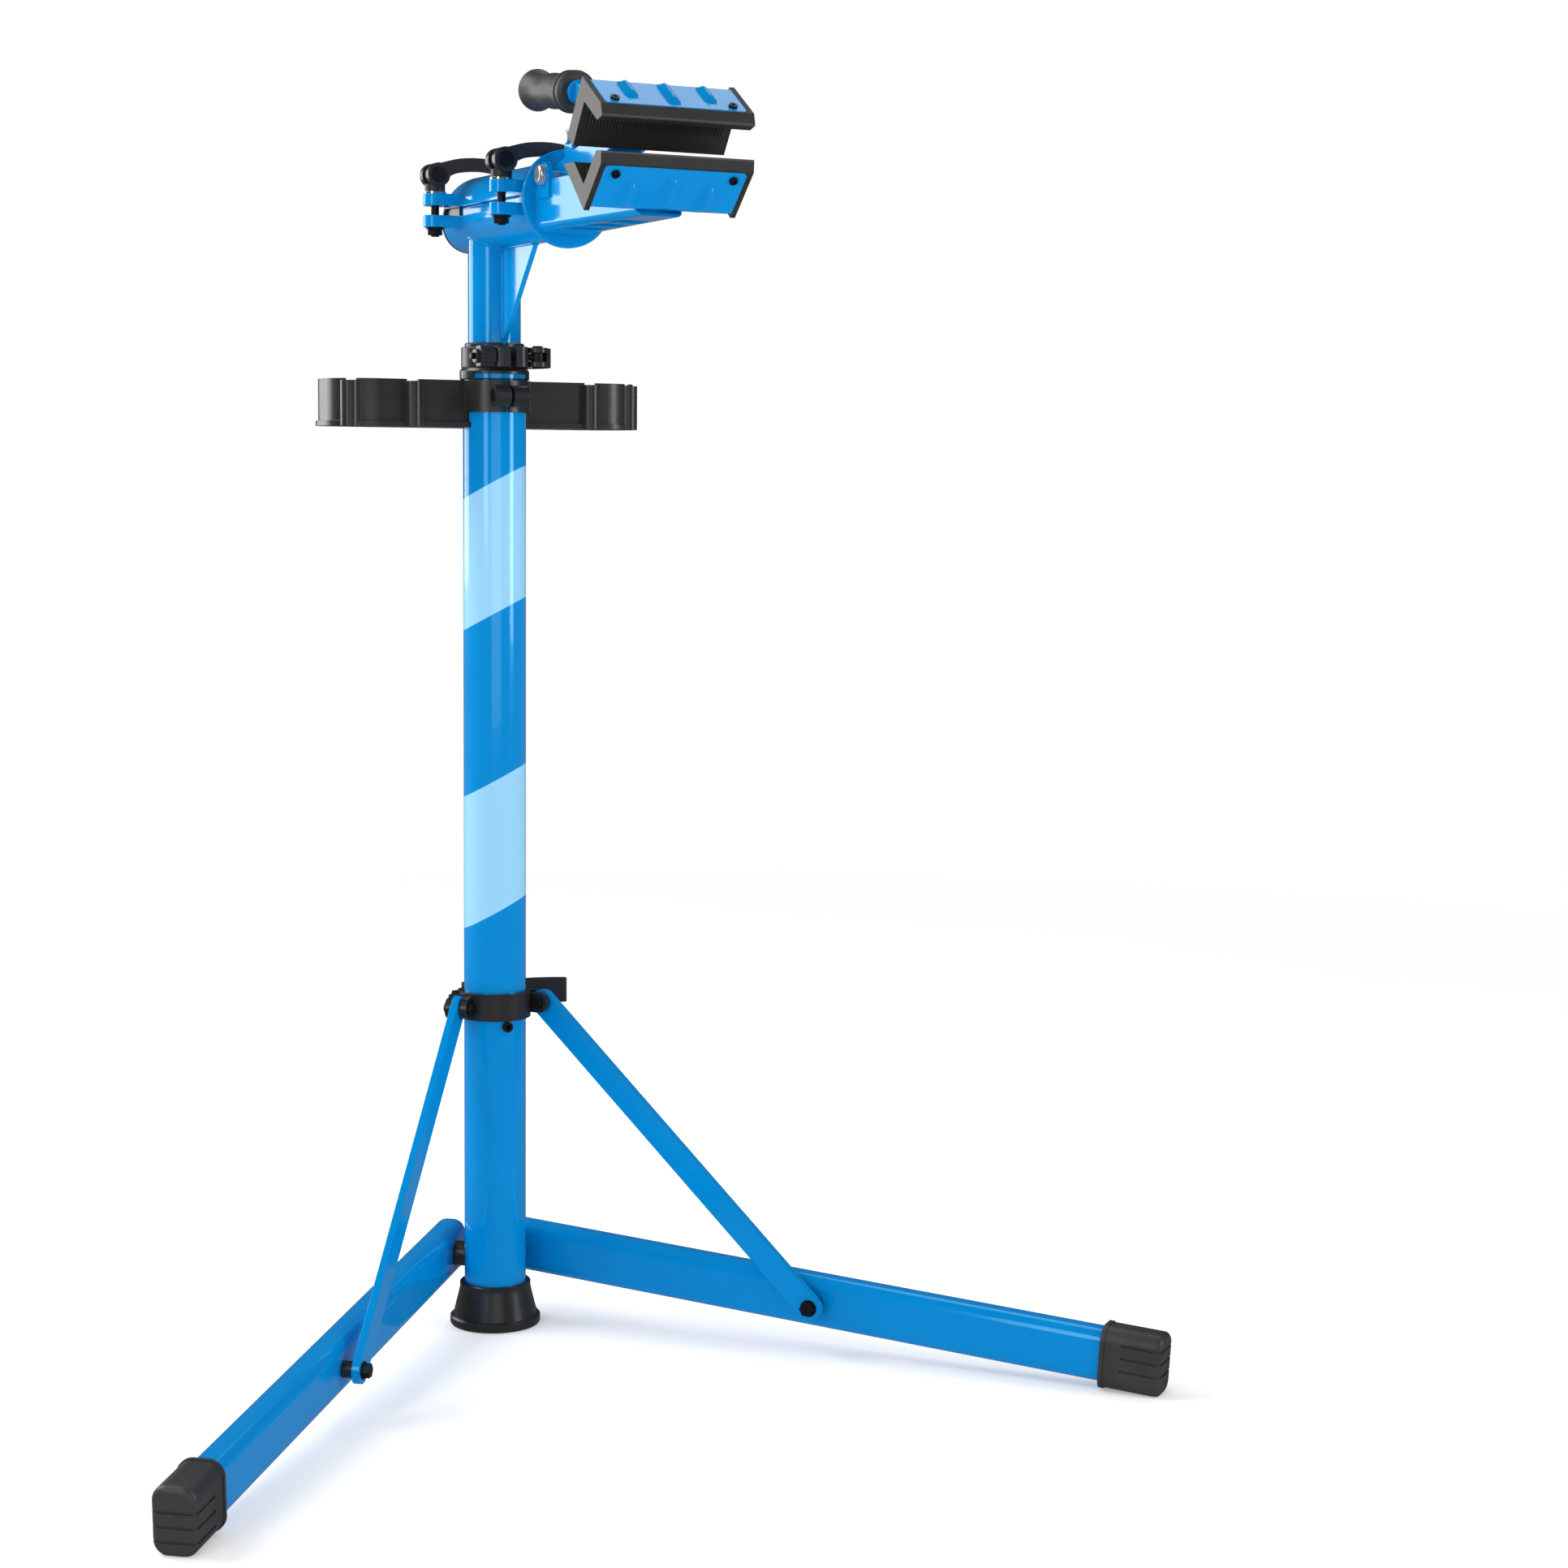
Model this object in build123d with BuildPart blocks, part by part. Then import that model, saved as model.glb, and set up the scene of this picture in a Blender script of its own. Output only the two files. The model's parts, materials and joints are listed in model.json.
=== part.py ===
from build123d import *
import math
import os

os.makedirs("parts", exist_ok=True)

# Frame: Z up from the floor at the middle of the mast foot, clamp arm towards -Y,
# cam clamps of the head on the -X side.  Lengths along the arm are given as t = -y.

# ---- mast ----
MAST_R = 30.0
MAST_WALL = 2.0
MAST_BOTTOM = 6.0
MAST_TOP = 924.0
INNER_R = 25.0
INNER_WALL = 2.5
INNER_BOTTOM = 110.0
SLIDING_GAP = 0.1
RUNNING_GAP = 0.05

# ---- legs ----
LEG_ANGLE = 39.0
LEG_PIVOT_Z = 66.0
LEG_REACH = 665.0
LEG_REAR = 28.0
LEG_WIDTH = 30.0
LEG_HEIGHT = 50.0
LEG_WALL = 2.0
LEG_CORNER = 12.0
LEG_INNER_FACE = 40.0
LEG_OUTER_FACE = LEG_INNER_FACE + LEG_WIDTH
LEG_CENTRE = LEG_INNER_FACE + LEG_WIDTH / 2
CAP_LENGTH = 58.0
CAP_WALL = 4.0
CAP_END = 6.0
CAP_CENTRE_Z = LEG_HEIGHT / 2 + CAP_WALL
LEG_SLOPE = math.degrees(math.atan2(LEG_PIVOT_Z - CAP_CENTRE_Z, LEG_REACH - CAP_LENGTH / 2))
BOLT_R = 4.0

# ---- leg collar and braces ----
COLLAR_Z = 318.0
COLLAR_HEIGHT = 26.0
COLLAR_BORE_R = 30.3
COLLAR_R = 34.5
BRACE_TOP_T = 40.0
BRACE_FOOT_T = 325.0
BRACE_FOOT_Z = LEG_PIVOT_Z - BRACE_FOOT_T * math.tan(math.radians(LEG_SLOPE))
BRACE_WIDTH = 24.0
BRACE_INNER = 21.5
BRACE_OUTER = 28.5
LUG_INNER = 14.0
LUG_OUTER = 35.5
CLAMP_Y = 44.0

# ---- height clamp and tray ----
BUSH_TOP = 952.5
BUSH_R = 28.2
BUSH_FLANGE_R = 33.0
SKIRT_LOW = 917.9
SKIRT_WINDOW_HEIGHT = 4.6
BAND_Z = 939.0
BAND_HEIGHT = 19.0
BAND_R = 31.5
BAND_CLAMP_Y = -39.0
TRAY_LOW = 873.0
TRAY_HIGH = 917.2
RING_LOW = 887.5
RING_HIGH = 917.2
RING_MID = (RING_LOW + RING_HIGH) / 2
TRAY_HALF_WIDTH = 156.0
TRAY_WALL = 2.5

# ---- head ----
HEAD_Z = 1075.0
HEAD_R = 35.0
HEAD_WALL = 3.0
HEAD_REAR_T = -58.0
HEAD_FRONT_T = 166.0
HEAD_MITRE = 26.0
SLIT = 9.0
SKEWER_X = -55.0
REAR_CLAMP_T = -12.0
FRONT_CLAMP_T = 152.5
LUG_THICK = 11.0
CAM_Z = 33.0
CAM_R = 11.0

# ---- arm and jaws ----
ARM_R = 30.0
DISC_R = 43.5
DISC_T = 170.0
DISC_THICK = 5.0
CHANNEL_REAR_HALF = 31.0
CHANNEL_TAPER = 0.049
CHANNEL_LOW = 1046.0
CHANNEL_HIGH = 1089.0
JAW_PIN_T = 193.0
JAW_PIN_Z = 1093.0
LOWER_APEX = (368.0, 1048.0)
UPPER_APEX = (374.0, 1123.0)
JAW_HALF = 70.0
JAW_V = 45.0
PAD_DEPTH = 15.0
LIP_HEIGHT = 10.5
PLATE_THICK = 2.5
PLATE_INSET = 5.0
JAW_OPEN = 11.0

# ---- handle and grip ----
HANDLE_T = 212.0
HANDLE_Z = 1124.0
GRIP_REAR_T = 102.0
GRIP_REAR_Z = 1178.0
GRIP_LENGTH = 95.0
GRIP_SLOPE = 7.0
GRIP_R = 15.0
CORE_R = 6.0


def save(shape, name):
    """Label one sub-component and write its own STEP file."""
    shape.label = name
    export_step(shape, f"parts/{name}.step")


def across(x):
    """Plane of constant x: sketch x is t (towards the jaws), sketch y is z."""
    return Plane(origin=(x, 0, 0), x_dir=(0, -1, 0), z_dir=(-1, 0, 0))


def along(t, z=0.0):
    """Plane square to the arm: sketch x is world x, sketch y is z, normal towards the jaws."""
    return Plane(origin=(0, -t, z), x_dir=(1, 0, 0), z_dir=(0, -1, 0))


def leg_outward(side):
    """Direction of a leg away from the mast, seen from above."""
    angle = math.radians(LEG_ANGLE)
    return Vector(side * math.sin(angle), -math.cos(angle), 0)


def leg_normal(side):
    """Direction square to a leg, from the mast towards its outer face."""
    angle = math.radians(LEG_ANGLE)
    return Vector(side * math.cos(angle), math.sin(angle), 0)


def leg_side(side, offset):
    """Plane parallel to a leg's side: sketch x runs out along the leg, sketch y is z."""
    u = leg_outward(side)
    n = leg_normal(side)
    return Plane(origin=n * offset, x_dir=u, z_dir=n * -side)


def leg_section(side, t):
    """Plane square to a leg's own sloping centre line at distance t from the pivot."""
    slope = math.radians(LEG_SLOPE)
    u = leg_outward(side)
    run = u * math.cos(slope) + Vector(0, 0, -math.sin(slope))
    start = leg_normal(side) * LEG_CENTRE + Vector(0, 0, LEG_PIVOT_Z) + run * t
    return Plane(origin=start, x_dir=leg_normal(side), z_dir=run)


def side_pin(side, t, z, radius, inner, outer):
    """Round pin square to a leg's side, between two offsets from the mast axis."""
    with BuildPart() as pin:
        with BuildSketch(leg_side(side, (inner + outer) / 2)):
            with Locations((t, z)):
                Circle(radius)
        extrude(amount=(outer - inner) / 2, both=True)
    return pin.part


def side_hex(side, t, z, radius, inner, outer):
    """Hexagon head or nut square to a leg's side, between two offsets."""
    with BuildPart() as nut:
        with BuildSketch(leg_side(side, (inner + outer) / 2)):
            with Locations((t, z)):
                RegularPolygon(radius, 6)
        extrude(amount=(outer - inner) / 2, both=True)
    return nut.part


def side_dome(side, t, z, radius, base, height):
    """Domed bolt head standing on a leg-parallel face at the given offset."""
    rise = (radius**2 + height**2) / (2 * height)
    n = leg_normal(side)
    u = leg_outward(side)
    foot = n * base + u * t + Vector(0, 0, z)
    with BuildPart() as dome:
        with BuildSketch(Plane(origin=foot, x_dir=u, z_dir=u.cross(n))):
            with BuildLine():
                Line((0, 0), (radius, 0))
                RadiusArc((radius, 0), (0, height), -rise)
                Line((0, height), (0, 0))
            make_face()
        revolve(axis=Axis(foot, n))
    return dome.part


def bar_edges(points, thickness, tip_thickness):
    """Points along both edges of a tapering bar, and its two end tips, from its middle line."""
    left = []
    right = []
    last = len(points) - 1
    for index, (x, y) in enumerate(points):
        half = (thickness + (tip_thickness - thickness) * index / last) / 2
        x0, y0 = points[max(index - 1, 0)]
        x1, y1 = points[min(index + 1, last)]
        length = math.hypot(x1 - x0, y1 - y0)
        run = ((x1 - x0) / length, (y1 - y0) / length)
        left.append((x - run[1] * half, y + run[0] * half))
        right.append((x + run[1] * half, y - run[0] * half))
        if index == 0:
            start = (x - run[0] * half, y - run[1] * half)
        end = (x + run[0] * half, y + run[1] * half)
    return left, right, start, end


def swept_bar(plane, points, width, thickness, tip_thickness=None):
    """Bar with round ends whose middle line runs through the points, centred on the plane."""
    left, right, start, end = bar_edges(points, thickness, tip_thickness or thickness)
    with BuildPart() as bar:
        with BuildSketch(plane):
            with BuildLine():
                Spline(*left)
                ThreePointArc(left[-1], end, right[-1])
                Spline(*reversed(right))
                ThreePointArc(right[0], start, left[0])
            make_face()
        extrude(amount=width / 2, both=True)
    return bar.part


# ================================ mast ================================

with BuildPart() as outer_mast_tube:
    with BuildSketch(Plane.XY.offset(MAST_BOTTOM)):
        Circle(MAST_R)
        Circle(MAST_R - MAST_WALL, mode=Mode.SUBTRACT)
    extrude(amount=MAST_TOP - MAST_BOTTOM)
    for side in (-1, 1):
        with Locations(leg_side(side, MAST_R) * Pos(0, LEG_PIVOT_Z, 0)):
            Cylinder(BOLT_R + 0.1, 12, mode=Mode.SUBTRACT)
    with Locations((0, -MAST_R, COLLAR_Z - 19)):
        Cylinder(3.1, 10, rotation=(90, 0, 0), mode=Mode.SUBTRACT)
save(outer_mast_tube.part, "outer_mast_tube")

FOOT_HEIGHT = 42.0
with BuildPart() as mast_foot:
    with BuildSketch(Plane.XZ):
        with BuildLine():
            Polyline((0, 0), (43, 0), (44, 1.5), (44, 7.5), (42.5, 9), (41, 9), (34.5, 36))
            Polyline((34.5, 36), (34.5, 41), (33.5, FOOT_HEIGHT), (MAST_R, FOOT_HEIGHT))
            Polyline((MAST_R, FOOT_HEIGHT), (MAST_R, MAST_BOTTOM), (0, MAST_BOTTOM), (0, 0))
        make_face()
    revolve(axis=Axis.Z)
    with Locations((0, 32, 34)):
        Cylinder(2.1, 12, rotation=(90, 0, 0), mode=Mode.SUBTRACT)
save(mast_foot.part, "mast_foot")

FOOT_SCREW_Y = 36.2
with BuildPart() as foot_screw:
    with BuildSketch(Plane.XZ.offset(-FOOT_SCREW_Y)):
        with Locations((0, 34)):
            Circle(4.5)
            RegularPolygon(2.2, 6, mode=Mode.SUBTRACT)
    extrude(amount=-3.2)
    with BuildSketch(Plane.XZ.offset(-FOOT_SCREW_Y)):
        with Locations((0, 34)):
            Circle(2.0)
    extrude(amount=5.8)
save(foot_screw.part, "foot_screw")

with BuildPart() as collar_stop_screw:
    with BuildSketch(Plane.XZ.offset(MAST_R)):
        with Locations((0, COLLAR_Z - 19)):
            Circle(5.0)
            RegularPolygon(2.4, 6, mode=Mode.SUBTRACT)
    extrude(amount=4.4)
    with BuildSketch(Plane.XZ.offset(MAST_R)):
        with Locations((0, COLLAR_Z - 19)):
            Circle(3.0)
    extrude(amount=-1.9)
save(collar_stop_screw.part, "collar_stop_screw")

with BuildPart() as leg_pivot_spacers:
    for side in (-1, 1):
        add(side_pin(side, 0, LEG_PIVOT_Z, 12.0, 20.0, LEG_INNER_FACE - 0.2))
        add(side_pin(side, 0, LEG_PIVOT_Z, BOLT_R + 0.1, 18.0, 42.0), mode=Mode.SUBTRACT)
    with Locations((0, 0, LEG_PIVOT_Z)):
        Cylinder(MAST_R, 60, mode=Mode.SUBTRACT)
save(leg_pivot_spacers.part, "leg_pivot_spacers")

with BuildPart() as leg_pivot_bolts:
    for side in (-1, 1):
        add(side_hex(side, 0, LEG_PIVOT_Z, 7.5, 19.0, 26.0))
        add(side_pin(side, 0, LEG_PIVOT_Z, BOLT_R, 25.0, LEG_OUTER_FACE + 1))
        add(side_pin(side, 0, LEG_PIVOT_Z, 8.5, LEG_OUTER_FACE + 0.2, LEG_OUTER_FACE + 1.8))
        add(side_hex(side, 0, LEG_PIVOT_Z, 7.5, LEG_OUTER_FACE + 1.8, LEG_OUTER_FACE + 7.3))
save(leg_pivot_bolts.part, "leg_pivot_bolts")

with BuildPart() as reducer_bush:
    with BuildSketch(Plane.XZ):
        with BuildLine():
            Polyline(
                (25.1, 850),
                (27.95, 850),
                (27.95, MAST_TOP),
                (MAST_R + 0.15, MAST_TOP),
                (MAST_R + 0.15, SKIRT_LOW),
                (BUSH_FLANGE_R - 0.8, SKIRT_LOW),
                (BUSH_FLANGE_R, SKIRT_LOW + 0.8),
                (BUSH_FLANGE_R, MAST_TOP + 2.0),
                (31, MAST_TOP + 5),
                (BUSH_R, MAST_TOP + 5),
                (BUSH_R, BUSH_TOP - 1),
                (BUSH_R - 1, BUSH_TOP),
                (25.1, BUSH_TOP),
            )
            Line((25.1, BUSH_TOP), (25.1, 850))
        make_face()
    revolve(axis=Axis.Z)
    with Locations((0, -BUSH_R, BUSH_TOP)):
        Box(4, 12, 2 * (BUSH_TOP - MAST_TOP - 6), mode=Mode.SUBTRACT)
    with BuildSketch(Plane.XY.offset(SKIRT_LOW + 1.0)):
        for turn in (0, 180):
            with Locations(Location((0, 0, 0), (0, 0, turn))):
                Polygon((0, 0), (70, -40), (70, -80), (-70, -80), (-70, -40), align=None)
        Circle(MAST_R + 0.1, mode=Mode.SUBTRACT)
    extrude(amount=SKIRT_WINDOW_HEIGHT, mode=Mode.SUBTRACT)
save(reducer_bush.part, "reducer_bush")

with BuildPart() as height_clamp_band:
    with BuildSketch(Plane.XY.offset(BAND_Z)):
        Circle(BAND_R)
        with Locations((0, BAND_CLAMP_Y / 2 - 7.5)):
            Rectangle(28, -BAND_CLAMP_Y - 4)
        with Locations((8.5, BAND_CLAMP_Y), (-8.5, BAND_CLAMP_Y)):
            Circle(9)
        with Locations((0, BAND_CLAMP_Y)):
            Rectangle(17, 18)
        Circle(BUSH_R, mode=Mode.SUBTRACT)
        with Locations((0, BAND_CLAMP_Y)):
            Rectangle(6, 40, mode=Mode.SUBTRACT)
    extrude(amount=BAND_HEIGHT / 2, both=True)
    fillet(height_clamp_band.edges().filter_by(GeomType.CIRCLE).group_by(Axis.Z)[-1], 1.2)
    with Locations((0, BAND_CLAMP_Y, BAND_Z)):
        Cylinder(3.1, 60, rotation=(0, 90, 0), mode=Mode.SUBTRACT)
save(height_clamp_band.part, "height_clamp_band")


def eye_bolt_along_x(end_x, eye_x, y, z, eye_r=6.0, eye_height=8.0):
    """Clamp bolt along x whose eye at eye_x carries a vertical cam pin."""
    with BuildPart() as bolt:
        with Locations(((end_x + eye_x) / 2, y, z)):
            Cylinder(3.0, abs(eye_x - end_x), rotation=(0, 90, 0))
        with Locations((eye_x, y, z)):
            Cylinder(eye_r, eye_height)
            Cylinder(3.0 + RUNNING_GAP, 2 * eye_height, mode=Mode.SUBTRACT)
    return bolt.part


BAND_CAM_X = 28.0
save(eye_bolt_along_x(-40.0, BAND_CAM_X, BAND_CLAMP_Y, BAND_Z), "height_clamp_bolt")

with BuildPart() as height_clamp_knob:
    with BuildSketch(Plane.YZ.offset(-18.0)):
        with Locations((BAND_CLAMP_Y, BAND_Z)):
            Circle(10.5)
            with PolarLocations(11.6, 8):
                Circle(2.4, mode=Mode.SUBTRACT)
            Circle(3.0 + RUNNING_GAP, mode=Mode.SUBTRACT)
    extrude(amount=-14)
    with BuildSketch(Plane.YZ.offset(-32.0)):
        with Locations((BAND_CLAMP_Y, BAND_Z)):
            Circle(6.5)
            Circle(3.0 + RUNNING_GAP, mode=Mode.SUBTRACT)
    extrude(amount=-4)
save(height_clamp_knob.part, "height_clamp_knob")


def cam_lever_vertical(eye_x, eye_y, z, points, height, thickness, eye_low, eye_high):
    """Cam lever turning on a vertical pin, with a slot for the clamp bolt's eye."""
    level = Plane.XY.offset(z)
    with BuildPart() as lever:
        add(swept_bar(level, points, height, thickness))
        with BuildSketch(level):
            with Locations((eye_x, eye_y)):
                Circle(9.5)
        extrude(amount=height / 2, both=True)
        with Locations((eye_x + (eye_low + eye_high) / 2, eye_y, z)):
            Box(eye_high - eye_low, 22, 8.6, mode=Mode.SUBTRACT)
        with Locations((eye_x, eye_y, z)):
            Cylinder(3.0, 3 * height, mode=Mode.SUBTRACT)
    return lever.part


def cam_pin_vertical(x, y, z, height):
    """Headed vertical pin that a cam lever turns on."""
    with BuildPart() as pin:
        with Locations((x, y, z)):
            Cylinder(3.0, height)
        for end in (-1, 1):
            with Locations((x, y, z + end * (height / 2 + 0.8))):
                Cylinder(4.8, 1.6)
    return pin.part


HEIGHT_LEVER_PATH = [(BAND_CAM_X, BAND_CLAMP_Y), (40, -30), (48, -8), (46, 16), (36, 38)]
height_cam_lever = cam_lever_vertical(
    BAND_CAM_X, BAND_CLAMP_Y, BAND_Z, HEIGHT_LEVER_PATH, BAND_HEIGHT - 1, 7.5, -10.5, 7.0
)
save(height_cam_lever, "height_cam_lever")
save(cam_pin_vertical(BAND_CAM_X, BAND_CLAMP_Y, BAND_Z, BAND_HEIGHT - 1), "height_lever_pin")

# ---- tool tray ----
TRAY_MID_Y = 42.0
TRAY_DEPTH = 100.0
TRAY_BARREL_Y = -38.0
with BuildPart() as tool_tray:
    with BuildSketch(Plane.XY.offset(TRAY_LOW)):
        with Locations((0, TRAY_MID_Y)):
            RectangleRounded(2 * TRAY_HALF_WIDTH, TRAY_DEPTH, 42)
    extrude(amount=TRAY_HIGH - TRAY_LOW)
    with BuildSketch(Plane.XY.offset(RING_LOW)):
        Circle(34.5)
    extrude(amount=RING_HIGH - RING_LOW)
    with BuildSketch(Plane.XY.offset(TRAY_LOW)):
        with Locations((0, TRAY_MID_Y)):
            RectangleRounded(2 * TRAY_HALF_WIDTH + 5, TRAY_DEPTH + 5, 44.5)
    extrude(amount=5)
    with BuildSketch(Plane.XY.offset(TRAY_LOW)):
        with Locations((-143, 3.6), (-85, -8), (96, -8), (140, 1)):
            Circle(9)
    extrude(amount=TRAY_HIGH - TRAY_LOW - 2)
    with BuildSketch(Plane.XY.offset(TRAY_LOW + TRAY_WALL)):
        with Locations((0, TRAY_MID_Y)):
            RectangleRounded(2 * (TRAY_HALF_WIDTH - TRAY_WALL), TRAY_DEPTH - 2 * TRAY_WALL, 39.5)
        Circle(34.5, mode=Mode.SUBTRACT)
        with Locations((-62, TRAY_MID_Y), (62, TRAY_MID_Y)):
            Rectangle(TRAY_WALL, TRAY_DEPTH, mode=Mode.SUBTRACT)
    extrude(amount=TRAY_HIGH - TRAY_LOW, mode=Mode.SUBTRACT)
    with BuildSketch(Plane.XY.offset(TRAY_LOW - 1)):
        for column in range(4):
            with Locations((78 + column * 18, 20), (-78 - column * 18, 20)):
                Circle(5 + column)
            with Locations((78 + column * 18, 70), (-78 - column * 18, 70)):
                RegularPolygon(4 + column, 6)
        with Locations((0, 66)):
            SlotOverall(70, 14)
        with Locations((-143, 3.6), (-85, -8), (96, -8), (140, 1)):
            Circle(6)
    extrude(amount=TRAY_HIGH, mode=Mode.SUBTRACT)
    with Locations((0, TRAY_BARREL_Y, RING_MID)):
        Cylinder(10, 34, rotation=(0, 90, 0))
    with BuildSketch(Plane.XY.offset(TRAY_LOW - 1)):
        Circle(MAST_R)
        with Locations((0, -40)):
            Rectangle(3, 40)
    extrude(amount=TRAY_HIGH, mode=Mode.SUBTRACT)
    with Locations((0, TRAY_BARREL_Y, RING_MID)):
        Cylinder(3.1, 60, rotation=(0, 90, 0), mode=Mode.SUBTRACT)
    for end in (-1, 1):
        with Locations((end * 21.5, TRAY_BARREL_Y, RING_MID)):
            Cylinder(6.2, 20, rotation=(0, 90, 0), mode=Mode.SUBTRACT)
save(tool_tray.part, "tool_tray")

with BuildPart() as tray_clamp_bolt:
    with Locations((0, TRAY_BARREL_Y, RING_MID)):
        Cylinder(3.0, 26, rotation=(0, 90, 0))
    with BuildSketch(Plane.YZ.offset(11.6)):
        with Locations((TRAY_BARREL_Y, RING_MID)):
            Circle(5.5)
            RegularPolygon(2.4, 6, mode=Mode.SUBTRACT)
    extrude(amount=5)
    with BuildSketch(Plane.YZ.offset(-11.6)):
        with Locations((TRAY_BARREL_Y, RING_MID)):
            RegularPolygon(5.6, 6)
    extrude(amount=-5)
save(tray_clamp_bolt.part, "tray_clamp_bolt")

# ============================ leg collar ============================

with BuildPart() as leg_collar_band:
    with BuildSketch(Plane.XY.offset(COLLAR_Z)):
        Circle(COLLAR_R)
        with Locations((0, CLAMP_Y - 8)):
            Rectangle(34, 16)
        with Locations((9, CLAMP_Y), (-9, CLAMP_Y)):
            Circle(8)
        with Locations((0, CLAMP_Y)):
            Rectangle(18, 16)
    extrude(amount=COLLAR_HEIGHT / 2, both=True)
    for side in (-1, 1):
        for low, high in ((LUG_INNER, 20.8), (29.2, LUG_OUTER)):
            with BuildSketch(leg_side(side, (low + high) / 2)):
                with Locations(((BRACE_TOP_T + 12) / 2, COLLAR_Z)):
                    Rectangle(BRACE_TOP_T - 12, 19)
                with Locations((BRACE_TOP_T, COLLAR_Z)):
                    Circle(9.5)
            extrude(amount=(high - low) / 2, both=True)
        add(side_pin(side, BRACE_TOP_T, COLLAR_Z, BOLT_R, 10.0, 40.0), mode=Mode.SUBTRACT)
    with Locations((0, 0, COLLAR_Z)):
        Cylinder(COLLAR_BORE_R, 3 * COLLAR_HEIGHT, mode=Mode.SUBTRACT)
    with Locations((0, CLAMP_Y, COLLAR_Z)):
        Box(6, 40, 3 * COLLAR_HEIGHT, mode=Mode.SUBTRACT)
        Cylinder(3.1, 80, rotation=(0, 90, 0), mode=Mode.SUBTRACT)
save(leg_collar_band.part, "leg_collar_band")

COLLAR_CAM_X = 28.0
save(eye_bolt_along_x(-30.0, COLLAR_CAM_X, CLAMP_Y, COLLAR_Z), "collar_clamp_bolt")

with BuildPart() as collar_clamp_nut:
    with BuildSketch(Plane.YZ.offset(-17.2)):
        with Locations((CLAMP_Y, COLLAR_Z)):
            Circle(8.5)
            Circle(3.1, mode=Mode.SUBTRACT)
    extrude(amount=-2)
    with BuildSketch(Plane.YZ.offset(-19.2)):
        with Locations((CLAMP_Y, COLLAR_Z)):
            RegularPolygon(7.0, 6)
            Circle(3.1, mode=Mode.SUBTRACT)
    extrude(amount=-7)
save(collar_clamp_nut.part, "collar_clamp_nut")

with BuildPart() as brace_top_bolts:
    for side in (-1, 1):
        add(side_hex(side, BRACE_TOP_T, COLLAR_Z, 6.0, 9.6, LUG_INNER))
        add(side_pin(side, BRACE_TOP_T, COLLAR_Z, BOLT_R - 0.1, LUG_INNER - 1, LUG_OUTER + 1))
        add(side_dome(side, BRACE_TOP_T, COLLAR_Z, 7.0, LUG_OUTER, 3.6))
save(brace_top_bolts.part, "brace_top_bolts")

COLLAR_LEVER_PATH = [(COLLAR_CAM_X, CLAMP_Y), (45, 48), (66, 46), (88, 38)]
collar_cam_lever = cam_lever_vertical(
    COLLAR_CAM_X, CLAMP_Y, COLLAR_Z, COLLAR_LEVER_PATH, 24.0, 8.0, -11.0, 7.5
)
save(collar_cam_lever, "collar_cam_lever")
save(cam_pin_vertical(COLLAR_CAM_X, CLAMP_Y, COLLAR_Z, 24.0), "collar_lever_pin")


# ============================ legs and braces ============================


def leg_tube(side):
    """Flat-oval leg tube, bored for its pivot bolt and for the brace stud."""
    length = LEG_REACH / math.cos(math.radians(LEG_SLOPE)) - CAP_END + LEG_REAR
    with BuildPart() as tube:
        with BuildSketch(leg_section(side, -LEG_REAR)):
            RectangleRounded(LEG_WIDTH, LEG_HEIGHT, LEG_CORNER)
            RectangleRounded(
                LEG_WIDTH - 2 * LEG_WALL, LEG_HEIGHT - 2 * LEG_WALL, LEG_CORNER - LEG_WALL,
                mode=Mode.SUBTRACT,
            )
        extrude(amount=length)
        add(
            side_pin(side, 0, LEG_PIVOT_Z, BOLT_R + RUNNING_GAP, 38.0, 72.0),
            mode=Mode.SUBTRACT,
        )
        add(
            side_pin(side, BRACE_FOOT_T, BRACE_FOOT_Z, BOLT_R, 38.0, 72.0),
            mode=Mode.SUBTRACT,
        )
    return tube.part


def foot_cap(side):
    """Rubber boot over the leg's end, ribbed round its tip and flat on the floor."""
    end = LEG_REACH / math.cos(math.radians(LEG_SLOPE))
    with BuildPart() as cap:
        with BuildSketch(leg_section(side, end - CAP_LENGTH)):
            RectangleRounded(
                LEG_WIDTH + 2 * CAP_WALL, LEG_HEIGHT + 2 * CAP_WALL, LEG_CORNER + 1.0
            )
        extrude(amount=CAP_LENGTH)
        tip = cap.faces().sort_by(Axis((0, 0, 0), leg_outward(side)))[-1]
        fillet(tip.edges(), 6)
        with BuildSketch(leg_section(side, end - CAP_LENGTH)):
            RectangleRounded(
                LEG_WIDTH + 2 * CAP_WALL + 2, LEG_HEIGHT + 2 * CAP_WALL + 2, LEG_CORNER + 2.0
            )
        extrude(amount=4)
        with BuildSketch(leg_section(side, end - CAP_LENGTH)):
            RectangleRounded(LEG_WIDTH, LEG_HEIGHT, LEG_CORNER)
        extrude(amount=CAP_LENGTH - CAP_END, mode=Mode.SUBTRACT)
        for level in (-8.0, 4.0, 16.0):
            with BuildSketch(leg_section(side, end - 38.0)):
                with Locations((0, level)):
                    Rectangle(60, 2.2)
                    Rectangle(LEG_WIDTH + 2 * CAP_WALL - 2.4, 2.2, mode=Mode.SUBTRACT)
            extrude(amount=50, mode=Mode.SUBTRACT)
            with BuildSketch(leg_section(side, end - 1.3)):
                with Locations((0, level)):
                    Rectangle(60, 2.2)
            extrude(amount=5, mode=Mode.SUBTRACT)
        with BuildSketch():
            Rectangle(3000, 3000)
        extrude(amount=-60, mode=Mode.SUBTRACT)
    return cap.part


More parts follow.
